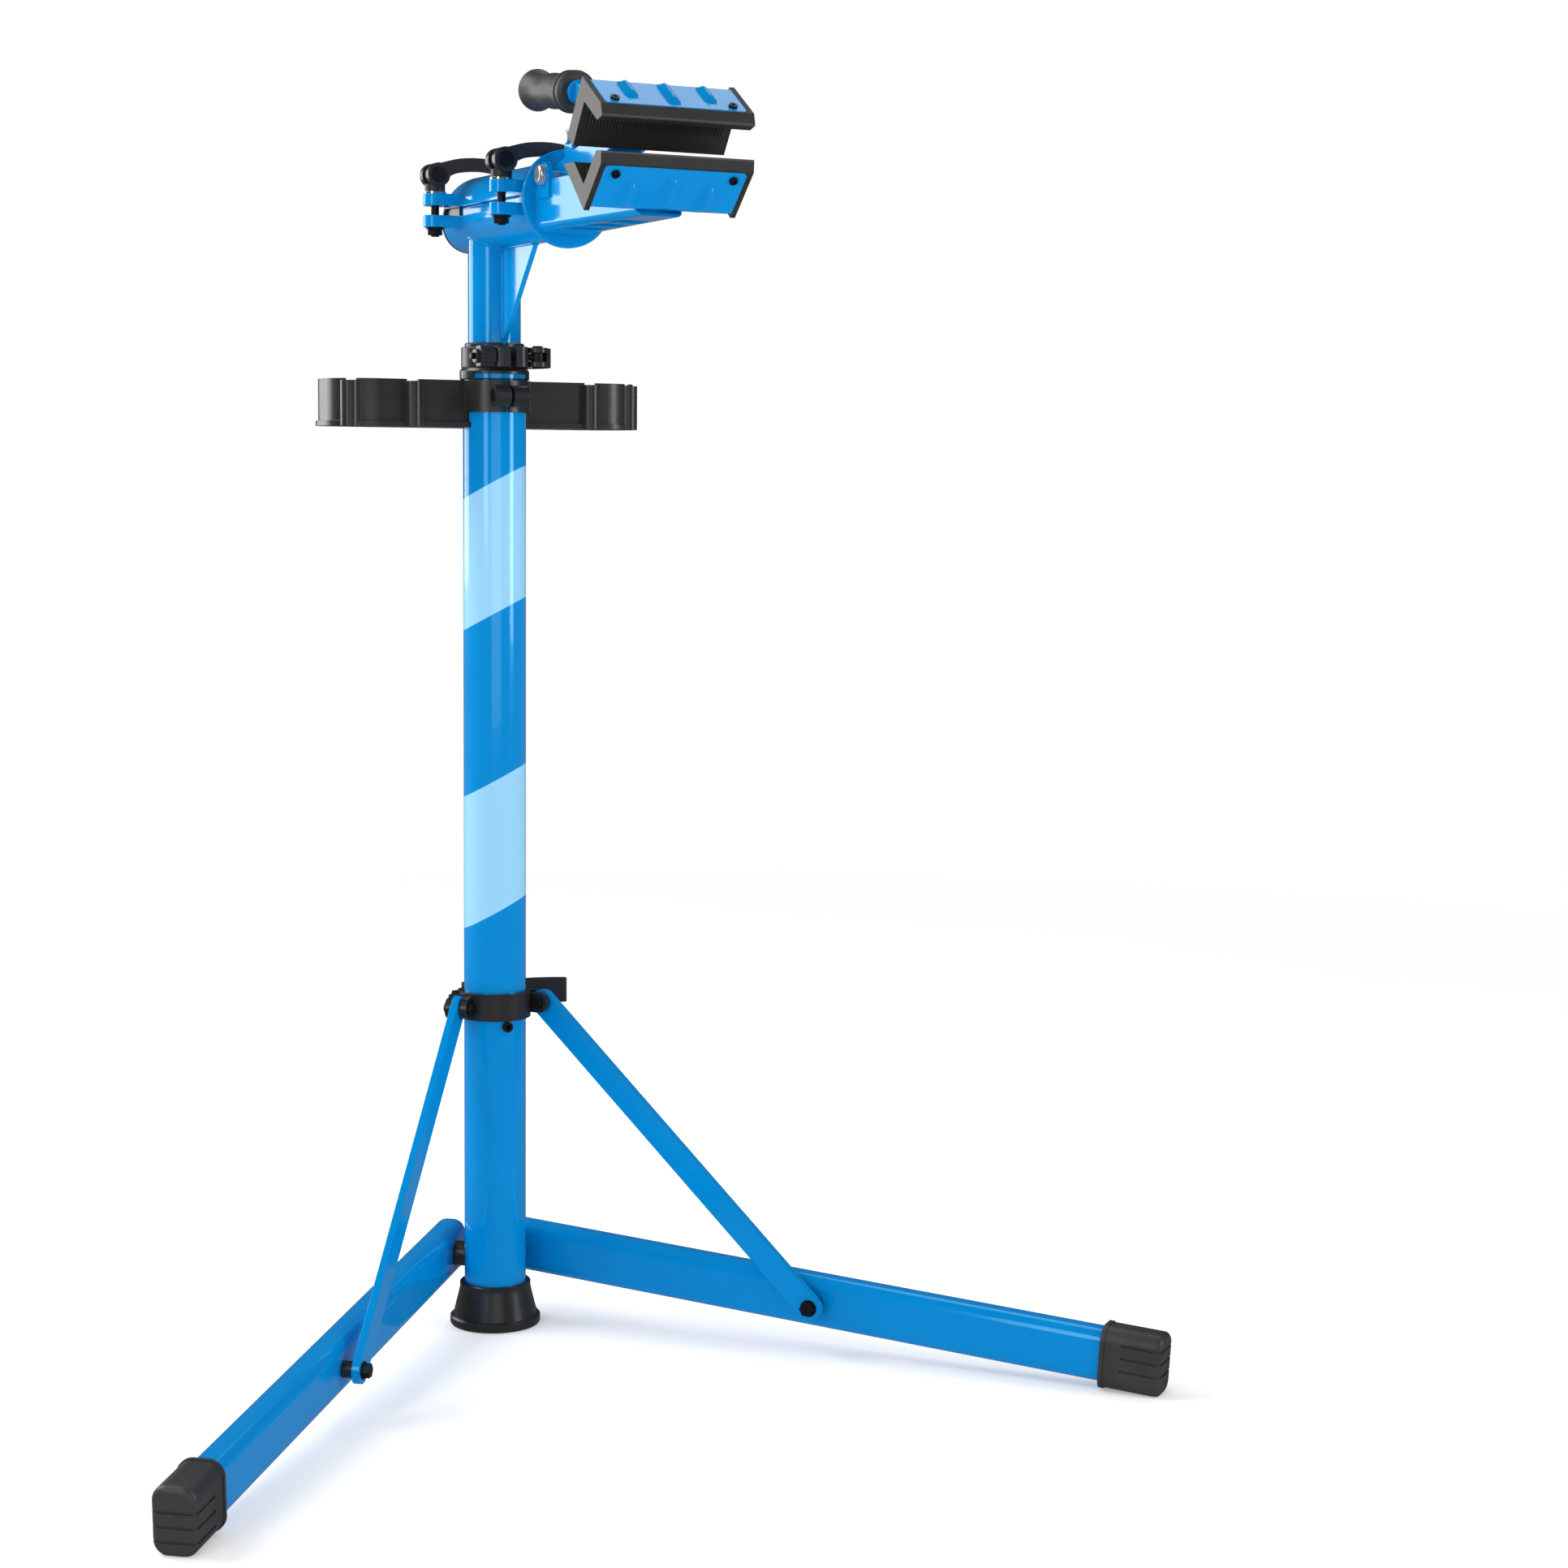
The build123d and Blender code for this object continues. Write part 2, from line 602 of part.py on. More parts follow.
def leg_plug(side):
    """Thin plug pressed into the rear end of a leg."""
    with BuildPart() as plug:
        with BuildSketch(leg_section(side, -LEG_REAR)):
            RectangleRounded(LEG_WIDTH - 0.6, LEG_HEIGHT - 0.6, LEG_CORNER - 0.3)
        extrude(amount=-2.4)
        with BuildSketch(leg_section(side, -LEG_REAR)):
            RectangleRounded(
                LEG_WIDTH - 2 * LEG_WALL, LEG_HEIGHT - 2 * LEG_WALL, LEG_CORNER - LEG_WALL
            )
            RectangleRounded(
                LEG_WIDTH - 2 * LEG_WALL - 4, LEG_HEIGHT - 2 * LEG_WALL - 4, LEG_CORNER - LEG_WALL - 2,
                mode=Mode.SUBTRACT,
            )
        extrude(amount=9)
    return plug.part


def leg_stud(side):
    """Stud through the leg that the brace bears on, domed on the outer face."""
    with BuildPart() as stud:
        add(side_pin(side, BRACE_FOOT_T, BRACE_FOOT_Z, BOLT_R, LEG_INNER_FACE, LEG_OUTER_FACE))
        add(side_dome(side, BRACE_FOOT_T, BRACE_FOOT_Z, 7.5, LEG_OUTER_FACE, 4.6))
    return stud.part


def brace_bar(side):
    """Flat brace from the collar to the leg, with round ends."""
    run = BRACE_FOOT_T - BRACE_TOP_T
    drop = BRACE_FOOT_Z - COLLAR_Z
    middle = ((BRACE_TOP_T + BRACE_FOOT_T) / 2, (COLLAR_Z + BRACE_FOOT_Z) / 2)
    with BuildPart() as bar:
        with BuildSketch(leg_side(side, (BRACE_INNER + BRACE_OUTER) / 2)):
            with Locations(middle):
                SlotCenterToCenter(
                    math.hypot(run, drop), BRACE_WIDTH, rotation=math.degrees(math.atan2(drop, run))
                )
            with Locations((BRACE_TOP_T, COLLAR_Z), (BRACE_FOOT_T, BRACE_FOOT_Z)):
                Circle(BOLT_R, mode=Mode.SUBTRACT)
        extrude(amount=(BRACE_OUTER - BRACE_INNER) / 2, both=True)
    return bar.part


def brace_spacer(side):
    """Round spacer that keeps the brace off the leg's inner face."""
    with BuildPart() as spacer:
        add(
            side_pin(side, BRACE_FOOT_T, BRACE_FOOT_Z, 7.5, BRACE_OUTER, LEG_INNER_FACE - 0.2)
        )
        add(
            side_pin(side, BRACE_FOOT_T, BRACE_FOOT_Z, BOLT_R, BRACE_OUTER - 1, LEG_INNER_FACE),
            mode=Mode.SUBTRACT,
        )
    return spacer.part


def brace_bolt(side):
    """Bolt through the brace and its spacer, with a hexagon head towards the mast."""
    with BuildPart() as bolt:
        add(side_pin(side, BRACE_FOOT_T, BRACE_FOOT_Z, BOLT_R - 0.1, 20.0, LEG_INNER_FACE - 0.3))
        add(side_pin(side, BRACE_FOOT_T, BRACE_FOOT_Z, 8.0, 20.3, BRACE_INNER))
        add(side_hex(side, BRACE_FOOT_T, BRACE_FOOT_Z, 6.8, 14.6, 20.3))
    return bolt.part


for side, hand in ((-1, "left"), (1, "right")):
    save(leg_tube(side), f"{hand}_leg_tube")
    save(foot_cap(side), f"{hand}_foot_cap")
    save(leg_plug(side), f"{hand}_leg_plug")
    save(leg_stud(side), f"{hand}_leg_stud")
    save(brace_bar(side), f"{hand}_brace_bar")
    save(brace_spacer(side), f"{hand}_brace_spacer")
    save(brace_bolt(side), f"{hand}_brace_bolt")

# ======================= sliding mast and head =======================

with BuildPart() as inner_tube_plug:
    with BuildSketch(Plane.XZ):
        with BuildLine():
            Polyline((0, 100), (MAST_R - MAST_WALL - SLIDING_GAP, 100))
            Line((27.9, 100), (27.9, 109.8))
            Polyline((27.9, 109.8), (22.3, 109.8), (22.3, 128), (19, 128), (19, 104), (0, 104))
            Line((0, 104), (0, 100))
        make_face()
    revolve(axis=Axis.Z)
save(inner_tube_plug.part, "inner_tube_plug")

with BuildPart() as inner_mast_tube:
    with BuildSketch(Plane.XY.offset(INNER_BOTTOM)):
        Circle(INNER_R)
        Circle(INNER_R - INNER_WALL, mode=Mode.SUBTRACT)
    extrude(amount=HEAD_Z - 10 - INNER_BOTTOM)
    with Locations((0, 0, HEAD_Z)):
        Cylinder(HEAD_R, 300, rotation=(90, 0, 0), mode=Mode.SUBTRACT)
save(inner_mast_tube.part, "inner_mast_tube")


def mitre_cut(rear_t):
    """Wedge behind a sloping rear end whose lowest point lies at rear_t."""
    run = 2 * HEAD_R * math.tan(math.radians(HEAD_MITRE))
    low = rear_t - 0.15 * run
    high = rear_t + 1.15 * run
    margin = 0.15 * 2 * HEAD_R
    with BuildPart() as wedge:
        with BuildSketch(across(0)):
            with BuildLine():
                Polyline(
                    (low, HEAD_Z - HEAD_R - margin),
                    (high, HEAD_Z + HEAD_R + margin),
                    (low - 60, HEAD_Z + HEAD_R + margin),
                    (low - 60, HEAD_Z - HEAD_R - margin),
                    close=True,
                )
            make_face()
        extrude(amount=60, both=True)
    return wedge.part


def lug_pair(t):
    """Sketch of the two round-ended lugs of one cam clamp, seen from above."""
    with BuildSketch(Plane.XY.offset(HEAD_Z)) as plan:
        with Locations(((SKEWER_X - 26) / 2, -t)):
            Rectangle(-26 - SKEWER_X, 22)
        with Locations((SKEWER_X, -t)):
            Circle(11)
    return plan.sketch


with BuildPart() as head_tube:
    with BuildSketch(along(HEAD_REAR_T, HEAD_Z)):
        Circle(HEAD_R)
    extrude(amount=HEAD_FRONT_T - HEAD_REAR_T)
    for clamp_t in (REAR_CLAMP_T, FRONT_CLAMP_T):
        extrude(lug_pair(clamp_t), amount=SLIT / 2 + LUG_THICK, both=True)
    with BuildSketch(along(HEAD_REAR_T - 5, HEAD_Z)):
        Circle(HEAD_R - HEAD_WALL)
        with Locations((-50, 0)):
            Rectangle(100, SLIT)
    extrude(amount=HEAD_FRONT_T - HEAD_REAR_T + 10, mode=Mode.SUBTRACT)
    for clamp_t in (REAR_CLAMP_T, FRONT_CLAMP_T):
        with Locations((SKEWER_X, -clamp_t, HEAD_Z)):
            Cylinder(BOLT_R, 80, mode=Mode.SUBTRACT)
    add(mitre_cut(HEAD_REAR_T), mode=Mode.SUBTRACT)
save(head_tube.part, "head_tube")

with BuildPart() as gusset_plate:
    with BuildSketch(across(0)):
        with BuildLine():
            Polyline((15, 957), (28, 955), (104, 1042), (104, 1060), (15, 1060), (15, 957))
        make_face()
    extrude(amount=2.5, both=True)
    with Locations((0, 0, 1000)):
        Cylinder(INNER_R, 300, mode=Mode.SUBTRACT)
    with Locations((0, 0, HEAD_Z)):
        Cylinder(HEAD_R, 400, rotation=(90, 0, 0), mode=Mode.SUBTRACT)
save(gusset_plate.part, "gusset_plate")

BUSH_LENGTH = 28.0
REAR_FLANGE_T = HEAD_REAR_T - 4.5


def rear_flange():
    """Flange of the rear bush, lying against the head tube's sloping end."""
    with BuildPart() as flange:
        with BuildSketch(along(REAR_FLANGE_T - 5, HEAD_Z)):
            Circle(HEAD_R)
            Circle(ARM_R + SLIDING_GAP, mode=Mode.SUBTRACT)
        extrude(amount=80)
        add(mitre_cut(HEAD_REAR_T), mode=Mode.INTERSECT)
    return flange.part


with BuildPart() as head_bushes:
    for start, end in ((REAR_FLANGE_T, -8.0), (HEAD_FRONT_T - BUSH_LENGTH, HEAD_FRONT_T)):
        with BuildSketch(along(start, HEAD_Z)):
            Circle(HEAD_R - HEAD_WALL)
            Circle(ARM_R + SLIDING_GAP, mode=Mode.SUBTRACT)
        extrude(amount=end - start)
    with BuildSketch(along(HEAD_FRONT_T, HEAD_Z)):
        Circle(HEAD_R - 0.5)
        Circle(ARM_R + SLIDING_GAP, mode=Mode.SUBTRACT)
    extrude(amount=DISC_T - HEAD_FRONT_T - 0.3)
    add(rear_flange())
    add(mitre_cut(REAR_FLANGE_T), mode=Mode.SUBTRACT)
save(head_bushes.part, "head_bushes")

BOLT_DROP = 24.0
with BuildPart() as skewer_bolts:
    for clamp_t in (REAR_CLAMP_T, FRONT_CLAMP_T):
        with Locations((SKEWER_X, -clamp_t, HEAD_Z + (CAM_Z - BOLT_DROP) / 2)):
            Cylinder(BOLT_R - 0.2, CAM_Z + BOLT_DROP)
        with Locations((SKEWER_X, -clamp_t, HEAD_Z + CAM_Z)):
            Cylinder(6.5, 8, rotation=(90, 0, 0))
    for clamp_t in (REAR_CLAMP_T, FRONT_CLAMP_T):
        with Locations((SKEWER_X, -clamp_t, HEAD_Z + CAM_Z)):
            Cylinder(3.0 + RUNNING_GAP, 20, rotation=(90, 0, 0), mode=Mode.SUBTRACT)
save(skewer_bolts.part, "skewer_bolts")

LUG_TOP = SLIT / 2 + LUG_THICK
with BuildPart() as skewer_nuts:
    for clamp_t in (REAR_CLAMP_T, FRONT_CLAMP_T):
        with BuildSketch(Plane.XY.offset(HEAD_Z - LUG_TOP)):
            with Locations((SKEWER_X, -clamp_t)):
                Circle(8.5)
                Circle(BOLT_R, mode=Mode.SUBTRACT)
        extrude(amount=-1.6)
        with BuildSketch(Plane.XY.offset(HEAD_Z - LUG_TOP - 1.6)):
            with Locations((SKEWER_X, -clamp_t)):
                RegularPolygon(7.4, 6)
                Circle(BOLT_R, mode=Mode.SUBTRACT)
        extrude(amount=-5.5)
save(skewer_nuts.part, "skewer_nuts")

with BuildPart() as cam_cups:
    for clamp_t in (REAR_CLAMP_T, FRONT_CLAMP_T):
        with BuildSketch(Plane.XY.offset(HEAD_Z + LUG_TOP)):
            with Locations((SKEWER_X, -clamp_t)):
                Circle(10.5)
                Circle(BOLT_R, mode=Mode.SUBTRACT)
        extrude(amount=2)
        with BuildSketch(Plane.XY.offset(HEAD_Z + LUG_TOP + 2)):
            with Locations((SKEWER_X, -clamp_t)):
                Circle(9.5)
                Circle(BOLT_R, mode=Mode.SUBTRACT)
        extrude(amount=7)
    for clamp_t in (REAR_CLAMP_T, FRONT_CLAMP_T):
        with Locations((SKEWER_X, -clamp_t, HEAD_Z + CAM_Z)):
            Cylinder(CAM_R + RUNNING_GAP, 40, rotation=(90, 0, 0), mode=Mode.SUBTRACT)
save(cam_cups.part, "cam_cups")

LEVER_WIDTH = 23.0
LEVER_ARM_WIDTH = 19.0
LEVER_ARCH = [(SKEWER_X, CAM_Z), (-42, 40), (-22, 44), (2, 43.5), (26, 35.5), (44, 22.5)]
LEVER_TIP = [(36, 28), (46, 21.5), (60, 19)]


def head_cam_lever(t):
    """Cam lever that arches over the head tube from its pin at the -X side."""
    arch = [(x, HEAD_Z + z) for x, z in LEVER_ARCH]
    tip = [(x, HEAD_Z + z) for x, z in LEVER_TIP]
    with BuildPart() as lever:
        add(swept_bar(along(t), arch, LEVER_ARM_WIDTH, 15.0, 7.0))
        add(swept_bar(along(t), tip, LEVER_ARM_WIDTH, 7.5, 5.0))
        with BuildSketch(along(t)):
            with Locations((SKEWER_X, HEAD_Z + CAM_Z)):
                Circle(CAM_R)
        extrude(amount=LEVER_WIDTH / 2, both=True)
        with Locations((SKEWER_X, -t, HEAD_Z + CAM_Z - 2)):
            Box(27, 8.6, 27, mode=Mode.SUBTRACT)
        with Locations((SKEWER_X, -t, HEAD_Z + CAM_Z)):
            Cylinder(3.0, 60, rotation=(90, 0, 0), mode=Mode.SUBTRACT)
    return lever.part


def head_cam_pin(t):
    """Headed pin along the arm that a head cam lever turns on."""
    with BuildPart() as pin:
        with Locations((SKEWER_X, -t, HEAD_Z + CAM_Z)):
            Cylinder(3.0, LEVER_WIDTH, rotation=(90, 0, 0))
        for end in (-1, 1):
            with Locations((SKEWER_X, -t + end * (LEVER_WIDTH / 2 + 1), HEAD_Z + CAM_Z)):
                Cylinder(7.0, 2, rotation=(90, 0, 0))
    return pin.part


for clamp_t, where in ((REAR_CLAMP_T, "rear"), (FRONT_CLAMP_T, "front")):
    save(head_cam_lever(clamp_t), f"{where}_cam_lever")
    save(head_cam_pin(clamp_t), f"{where}_cam_pin")

# ============================ clamp arm ============================


def jaw_apex(lower):
    """Outer corner of one V in the closed clamp, and which way the V opens in z."""
    return (*LOWER_APEX, 1) if lower else (*UPPER_APEX, -1)


def jaw_prism(outline, lower, half):
    """Bar along x from an outline drawn about the apex of a V that opens upwards."""
    apex_t, apex_z, up = jaw_apex(lower)
    with BuildPart() as prism:
        with BuildSketch(across(0)):
            with BuildLine():
                Polyline(*[(apex_t + t, apex_z + up * z) for t, z in outline], close=True)
            make_face()
        extrude(amount=half, both=True)
    return prism.part


def plate_outline(reach, low, high):
    """V strip between two depths from its outer faces, about its apex."""
    diagonal = math.sqrt(2)
    run = reach / diagonal
    return [
        (0, low * diagonal),
        (run - low / diagonal, run + low / diagonal),
        (run - high / diagonal, run + high / diagonal),
        (0, high * diagonal),
        (high / diagonal - run, run + high / diagonal),
        (low / diagonal - run, run + low / diagonal),
    ]


LOWER_FRONT = 36.0
LOWER_REAR = 41.0
UPPER_FRONT = 33.0
UPPER_REAR = 39.5


def pad_outline(lower):
    """Section of one rubber pad: a lip on the front limb, the rear limb cut to clear."""
    inner = PAD_DEPTH * math.sqrt(2)
    front = LOWER_FRONT if lower else UPPER_FRONT
    top = front - 1 + LIP_HEIGHT
    outline = [
        (0, 0),
        (front - 1, front - 1),
        (front - 0.5, top),
        (top + 1 - inner, top + 1),
        (0, inner),
    ]
    if lower:
        return outline + [(inner - LOWER_REAR, LOWER_REAR), (-LOWER_REAR, LOWER_REAR)]
    square = PAD_DEPTH / math.sqrt(2)
    return outline + [(square - UPPER_REAR, UPPER_REAR + square), (-UPPER_REAR, UPPER_REAR)]


def limb_plane(side, depth, lower):
    """Plane on one limb: sketch x along the jaw, sketch y from the apex to the free edge."""
    apex_t, apex_z, up = jaw_apex(lower)
    angle = math.radians(JAW_V)
    run = Vector(0, -side * math.sin(angle), up * math.cos(angle))
    into = Vector(0, side * math.cos(angle), up * math.sin(angle))
    origin = Vector(0, -apex_t, apex_z) + into * depth
    return Plane(origin=origin, x_dir=(1, 0, 0), z_dir=Vector(1, 0, 0).cross(run))


MIDDLE_RIB = 36.0
SIDE_RIB = 28.0
RIB_WIDTH = 9.0
RIB_END = 6.0
SCREW_X = 54.0


def plate_reach(lower):
    """Length of each limb of the bent plate."""
    front = LOWER_FRONT if lower else UPPER_FRONT
    return (front - 2) * math.sqrt(2)


def jaw_plate(lower):
    """Bent steel plate behind the pad, with pressed ribs and screw holes."""
    reach = plate_reach(lower)
    with BuildPart() as plate:
        add(jaw_prism(plate_outline(reach, 0.0, PLATE_THICK), lower, JAW_HALF - PLATE_INSET))
        for side in (-1, 1):
            for x, length in ((-36.0, SIDE_RIB), (0.0, MIDDLE_RIB), (36.0, SIDE_RIB)):
                with BuildSketch(limb_plane(side, 0.0, lower)):
                    with Locations((x, RIB_END + length / 2)):
                        SlotOverall(length, RIB_WIDTH, rotation=90)
                extrude(amount=1.2, both=True)
            with BuildSketch(limb_plane(side, 0.0, lower)):
                with Locations((-SCREW_X, reach - 8), (SCREW_X, reach - 8)):
                    Circle(1.7)
            extrude(amount=5, both=True, mode=Mode.SUBTRACT)
    return plate.part


def jaw_pad(lower):
    """Rubber V pad: a rim round the plate and toothed gripping faces inside."""
    reach = plate_reach(lower)
    with BuildPart() as pad:
        add(jaw_prism(pad_outline(lower), lower, JAW_HALF))
        recess = plate_outline(reach, -2.0, PLATE_THICK)
        add(jaw_prism(recess, lower, JAW_HALF - PLATE_INSET), mode=Mode.SUBTRACT)
        for side in (-1, 1):
            with BuildSketch(limb_plane(side, PAD_DEPTH, lower)):
                with Locations((0, 30)):
                    with GridLocations(3.0, 1, 42, 1):
                        Rectangle(1.5, 18)
            extrude(amount=1.0, both=True, mode=Mode.SUBTRACT)
            with BuildSketch(limb_plane(side, 0.0, lower)):
                with Locations((-SCREW_X, reach - 8), (SCREW_X, reach - 8)):
                    Circle(1.7)
            extrude(amount=10, both=True, mode=Mode.SUBTRACT)
    return pad.part


def jaw_screws(lower):
    """Pan-head screws that hold the pad to the plate."""
    at = plate_reach(lower) - 8
    with BuildPart() as screws:
        for side in (-1, 1):
            outward = limb_plane(side, 0.0, lower)
            into = 1 if outward.z_dir.dot(Vector(0, side, 0)) > 0 else -1
            for x in (-SCREW_X, SCREW_X):
                with BuildSketch(outward):
                    with Locations((x, at)):
                        Circle(1.6)
                extrude(amount=into * 8)
                with BuildSketch(outward):
                    with Locations((x, at)):
                        Circle(3.8)
                        RegularPolygon(1.8, 6, mode=Mode.SUBTRACT)
                extrude(amount=-into * 2.2)
    return screws.part


def opened(shape):
    """Swing an upper-jaw piece open about the jaw pin to its rest position."""
    pin = Axis((0, -JAW_PIN_T, JAW_PIN_Z), (-1, 0, 0))
    return shape.rotate(pin, JAW_OPEN)


save(jaw_plate(True), "lower_jaw_plate")
save(jaw_pad(True), "lower_jaw_pad")
save(jaw_screws(True), "lower_jaw_screws")
save(opened(jaw_plate(False)), "upper_jaw_plate")
save(opened(jaw_pad(False)), "upper_jaw_pad")
save(opened(jaw_screws(False)), "upper_jaw_screws")

ARM_REAR_T = -20.0
with BuildPart() as arm_shaft:
    with BuildSketch(along(ARM_REAR_T, HEAD_Z)):
        Circle(ARM_R)
        Circle(ARM_R - 2.5, mode=Mode.SUBTRACT)
    extrude(amount=DISC_T - ARM_REAR_T)
    with BuildSketch(along(DISC_T, HEAD_Z)):
        Circle(DISC_R)
    extrude(amount=DISC_THICK)
    fillet(arm_shaft.edges().filter_by(GeomType.CIRCLE).group_by(Axis.Y)[0], 1.5)
save(arm_shaft.part, "arm_shaft")

CHANNEL_START = DISC_T + DISC_THICK
CHANNEL_END = LOWER_APEX[0] + 4.0
EAR_X = 29.5
EAR_THICK = 5.0


def channel_plan(z, wall):
    """Plan of the tapering channel, seen from above, inside a wall of the given thickness."""
    rear = CHANNEL_REAR_HALF - wall
    front = rear - CHANNEL_TAPER * (CHANNEL_END - CHANNEL_START)
    with BuildSketch(Plane.XY.offset(z)) as plan:
        with BuildLine():
            Polyline(
                (-rear, -CHANNEL_START),
                (-front, -CHANNEL_END),
                (front, -CHANNEL_END),
                (rear, -CHANNEL_START),
                close=True,
            )
        make_face()
    return plan.sketch


with BuildPart() as arm_channel:
    extrude(channel_plan(CHANNEL_LOW, 0.0), amount=CHANNEL_HIGH - CHANNEL_LOW)
    long_edges = arm_channel.edges().filter_by(lambda edge: abs(edge.tangent_at(0.5).Y) > 0.9)
    fillet(long_edges.group_by(Axis.Z)[0], 7)
    extrude(channel_plan(CHANNEL_LOW + 3, 3.0), amount=60, mode=Mode.SUBTRACT)
    for x in (-EAR_X, EAR_X):
        with BuildSketch(across(x)):
            with Locations((JAW_PIN_T, JAW_PIN_Z)):
                Circle(11.5)
            with Locations((JAW_PIN_T, JAW_PIN_Z - 10)):
                Rectangle(23, 20)
        extrude(amount=EAR_THICK / 2, both=True)
    with Locations((0, -JAW_PIN_T, JAW_PIN_Z)):
        Cylinder(BOLT_R, 80, rotation=(0, 90, 0), mode=Mode.SUBTRACT)
    for slot_t in (215.0, 259.0, 303.0):
        with BuildSketch(Plane.XY.offset(CHANNEL_LOW - 5)):
            with Locations((0, -slot_t)):
                RectangleRounded(34, 35, 8)
        extrude(amount=14, mode=Mode.SUBTRACT)
    with BuildSketch(across(0)):
        with BuildLine():
            Polyline(
                (LOWER_APEX[0] + 5, LOWER_APEX[1] - 5),
                (LOWER_APEX[0] - 60, LOWER_APEX[1] + 60),
                (LOWER_APEX[0] + 60, LOWER_APEX[1] + 60),
                (LOWER_APEX[0] + 60, LOWER_APEX[1] - 5),
                close=True,
            )
        make_face()
    extrude(amount=60, both=True, mode=Mode.SUBTRACT)
save(arm_channel.part, "arm_channel")

PIN_FACE = EAR_X + EAR_THICK / 2
with BuildPart() as jaw_pivot_pin:
    with Locations((0, -JAW_PIN_T, JAW_PIN_Z)):
        Cylinder(BOLT_R - 0.1, 2 * PIN_FACE + 4, rotation=(0, 90, 0))
    for end in (-1, 1):
        with Locations((end * (PIN_FACE + 3.1), -JAW_PIN_T, JAW_PIN_Z)):
            Cylinder(9, 6, rotation=(0, 90, 0))
    fillet(jaw_pivot_pin.edges().group_by(Axis.X)[0], 3.5)
    fillet(jaw_pivot_pin.edges().group_by(Axis.X)[-1], 3.5)
save(jaw_pivot_pin.part, "jaw_pivot_pin")

# ============================ upper jaw arm ============================

def closed_point(t, z):
    """Where a point of the upper jaw at rest lies when the jaw is closed."""
    angle = math.radians(JAW_OPEN)
    run = t - JAW_PIN_T
    rise = z - JAW_PIN_Z
    closed_t = JAW_PIN_T + run * math.cos(angle) + rise * math.sin(angle)
    closed_z = JAW_PIN_Z - run * math.sin(angle) + rise * math.cos(angle)
    return closed_t, closed_z


UPPER_HALF = 17.0
EAR_T, EAR_Z = closed_point(HANDLE_T, HANDLE_Z)
with BuildPart() as closed_jaw_arm:
    with BuildSketch(across(0)):
        with BuildLine():
            Polyline((193, 1104), (225, 1106), (358, 1107), (338, 1087), (193, 1083), (193, 1104))
        make_face()
        with Locations((JAW_PIN_T, JAW_PIN_Z)):
            Circle(11)
    extrude(amount=UPPER_HALF, both=True)
    with BuildSketch(across(0)):
        with BuildLine():
            Polyline((170, 1100.5), (225, 1103), (380, 1104), (380, 1070), (170, 1070), (170, 1100.5))
        make_face()
    extrude(amount=UPPER_HALF - 3, both=True, mode=Mode.SUBTRACT)
    for x in (-UPPER_HALF + 1.5, UPPER_HALF - 1.5):
        with BuildSketch(across(x)):
            with Locations((EAR_T, EAR_Z)):
                Circle(8)
            with Locations((EAR_T, (EAR_Z + 1098) / 2)):
                Rectangle(16, EAR_Z - 1098)
        extrude(amount=1.5, both=True)
    with Locations((0, -211, 1104)):
        Box(2 * (UPPER_HALF - 3), 50, 20, mode=Mode.SUBTRACT)
    with Locations((0, -EAR_T, EAR_Z)):
        Cylinder(3.0 + RUNNING_GAP, 60, rotation=(0, 90, 0), mode=Mode.SUBTRACT)
    with Locations((0, -JAW_PIN_T, JAW_PIN_Z)):
        Cylinder(BOLT_R - 0.1 + RUNNING_GAP, 60, rotation=(0, 90, 0), mode=Mode.SUBTRACT)
    add(jaw_prism(plate_outline(70.0, -0.01, 30.0), False, JAW_HALF), mode=Mode.SUBTRACT)
    with BuildSketch(limb_plane(-1, 0.0, False)):
        with Locations((0, RIB_END + MIDDLE_RIB / 2)):
            SlotOverall(MIDDLE_RIB + 2, RIB_WIDTH + 2, rotation=90)
    extrude(amount=1.3, both=True, mode=Mode.SUBTRACT)
save(opened(closed_jaw_arm.part), "upper_jaw_arm")

# ============================ handle and grip ============================

grip_run = math.radians(GRIP_SLOPE)
GRIP_FRONT_T = GRIP_REAR_T + GRIP_LENGTH * math.cos(grip_run)
GRIP_FRONT_Z = GRIP_REAR_Z - GRIP_LENGTH * math.sin(grip_run)


def grip_plane(distance):
    """Plane square to the grip at a distance forward from its rear end."""
    run = Vector(0, -math.cos(grip_run), -math.sin(grip_run))
    start = Vector(0, -GRIP_REAR_T, GRIP_REAR_Z) + run * distance
    return Plane(origin=start, x_dir=(1, 0, 0), z_dir=run)


with BuildPart() as handle_lever:
    core_start = GRIP_LENGTH + 1.0
    with BuildSketch(grip_plane(6.0)):
        Circle(CORE_R)
    extrude(amount=GRIP_LENGTH)
    with BuildSketch(grip_plane(core_start)):
        Circle(11)
    extrude(amount=6)
    neck = [
        (GRIP_FRONT_T + 8, GRIP_FRONT_Z - 1),
        (GRIP_FRONT_T + 15, GRIP_FRONT_Z - 6),
        (HANDLE_T + 2, HANDLE_Z + 21),
        (HANDLE_T, HANDLE_Z),
    ]
    add(swept_bar(across(0), neck, 12, 15))
    with Locations((0, -HANDLE_T, HANDLE_Z)):
        Cylinder(8.5, 24, rotation=(0, 90, 0))
        Cylinder(3.0, 60, rotation=(0, 90, 0), mode=Mode.SUBTRACT)
save(handle_lever.part, "handle_lever")

with BuildPart() as handle_pivot_pin:
    with Locations((0, -HANDLE_T, HANDLE_Z)):
        Cylinder(3.0 - RUNNING_GAP, 36, rotation=(0, 90, 0))
    for end in (-1, 1):
        with Locations((end * (UPPER_HALF + 1.4), -HANDLE_T, HANDLE_Z)):
            Cylinder(5.5, 2.4, rotation=(0, 90, 0))
save(handle_pivot_pin.part, "handle_pivot_pin")

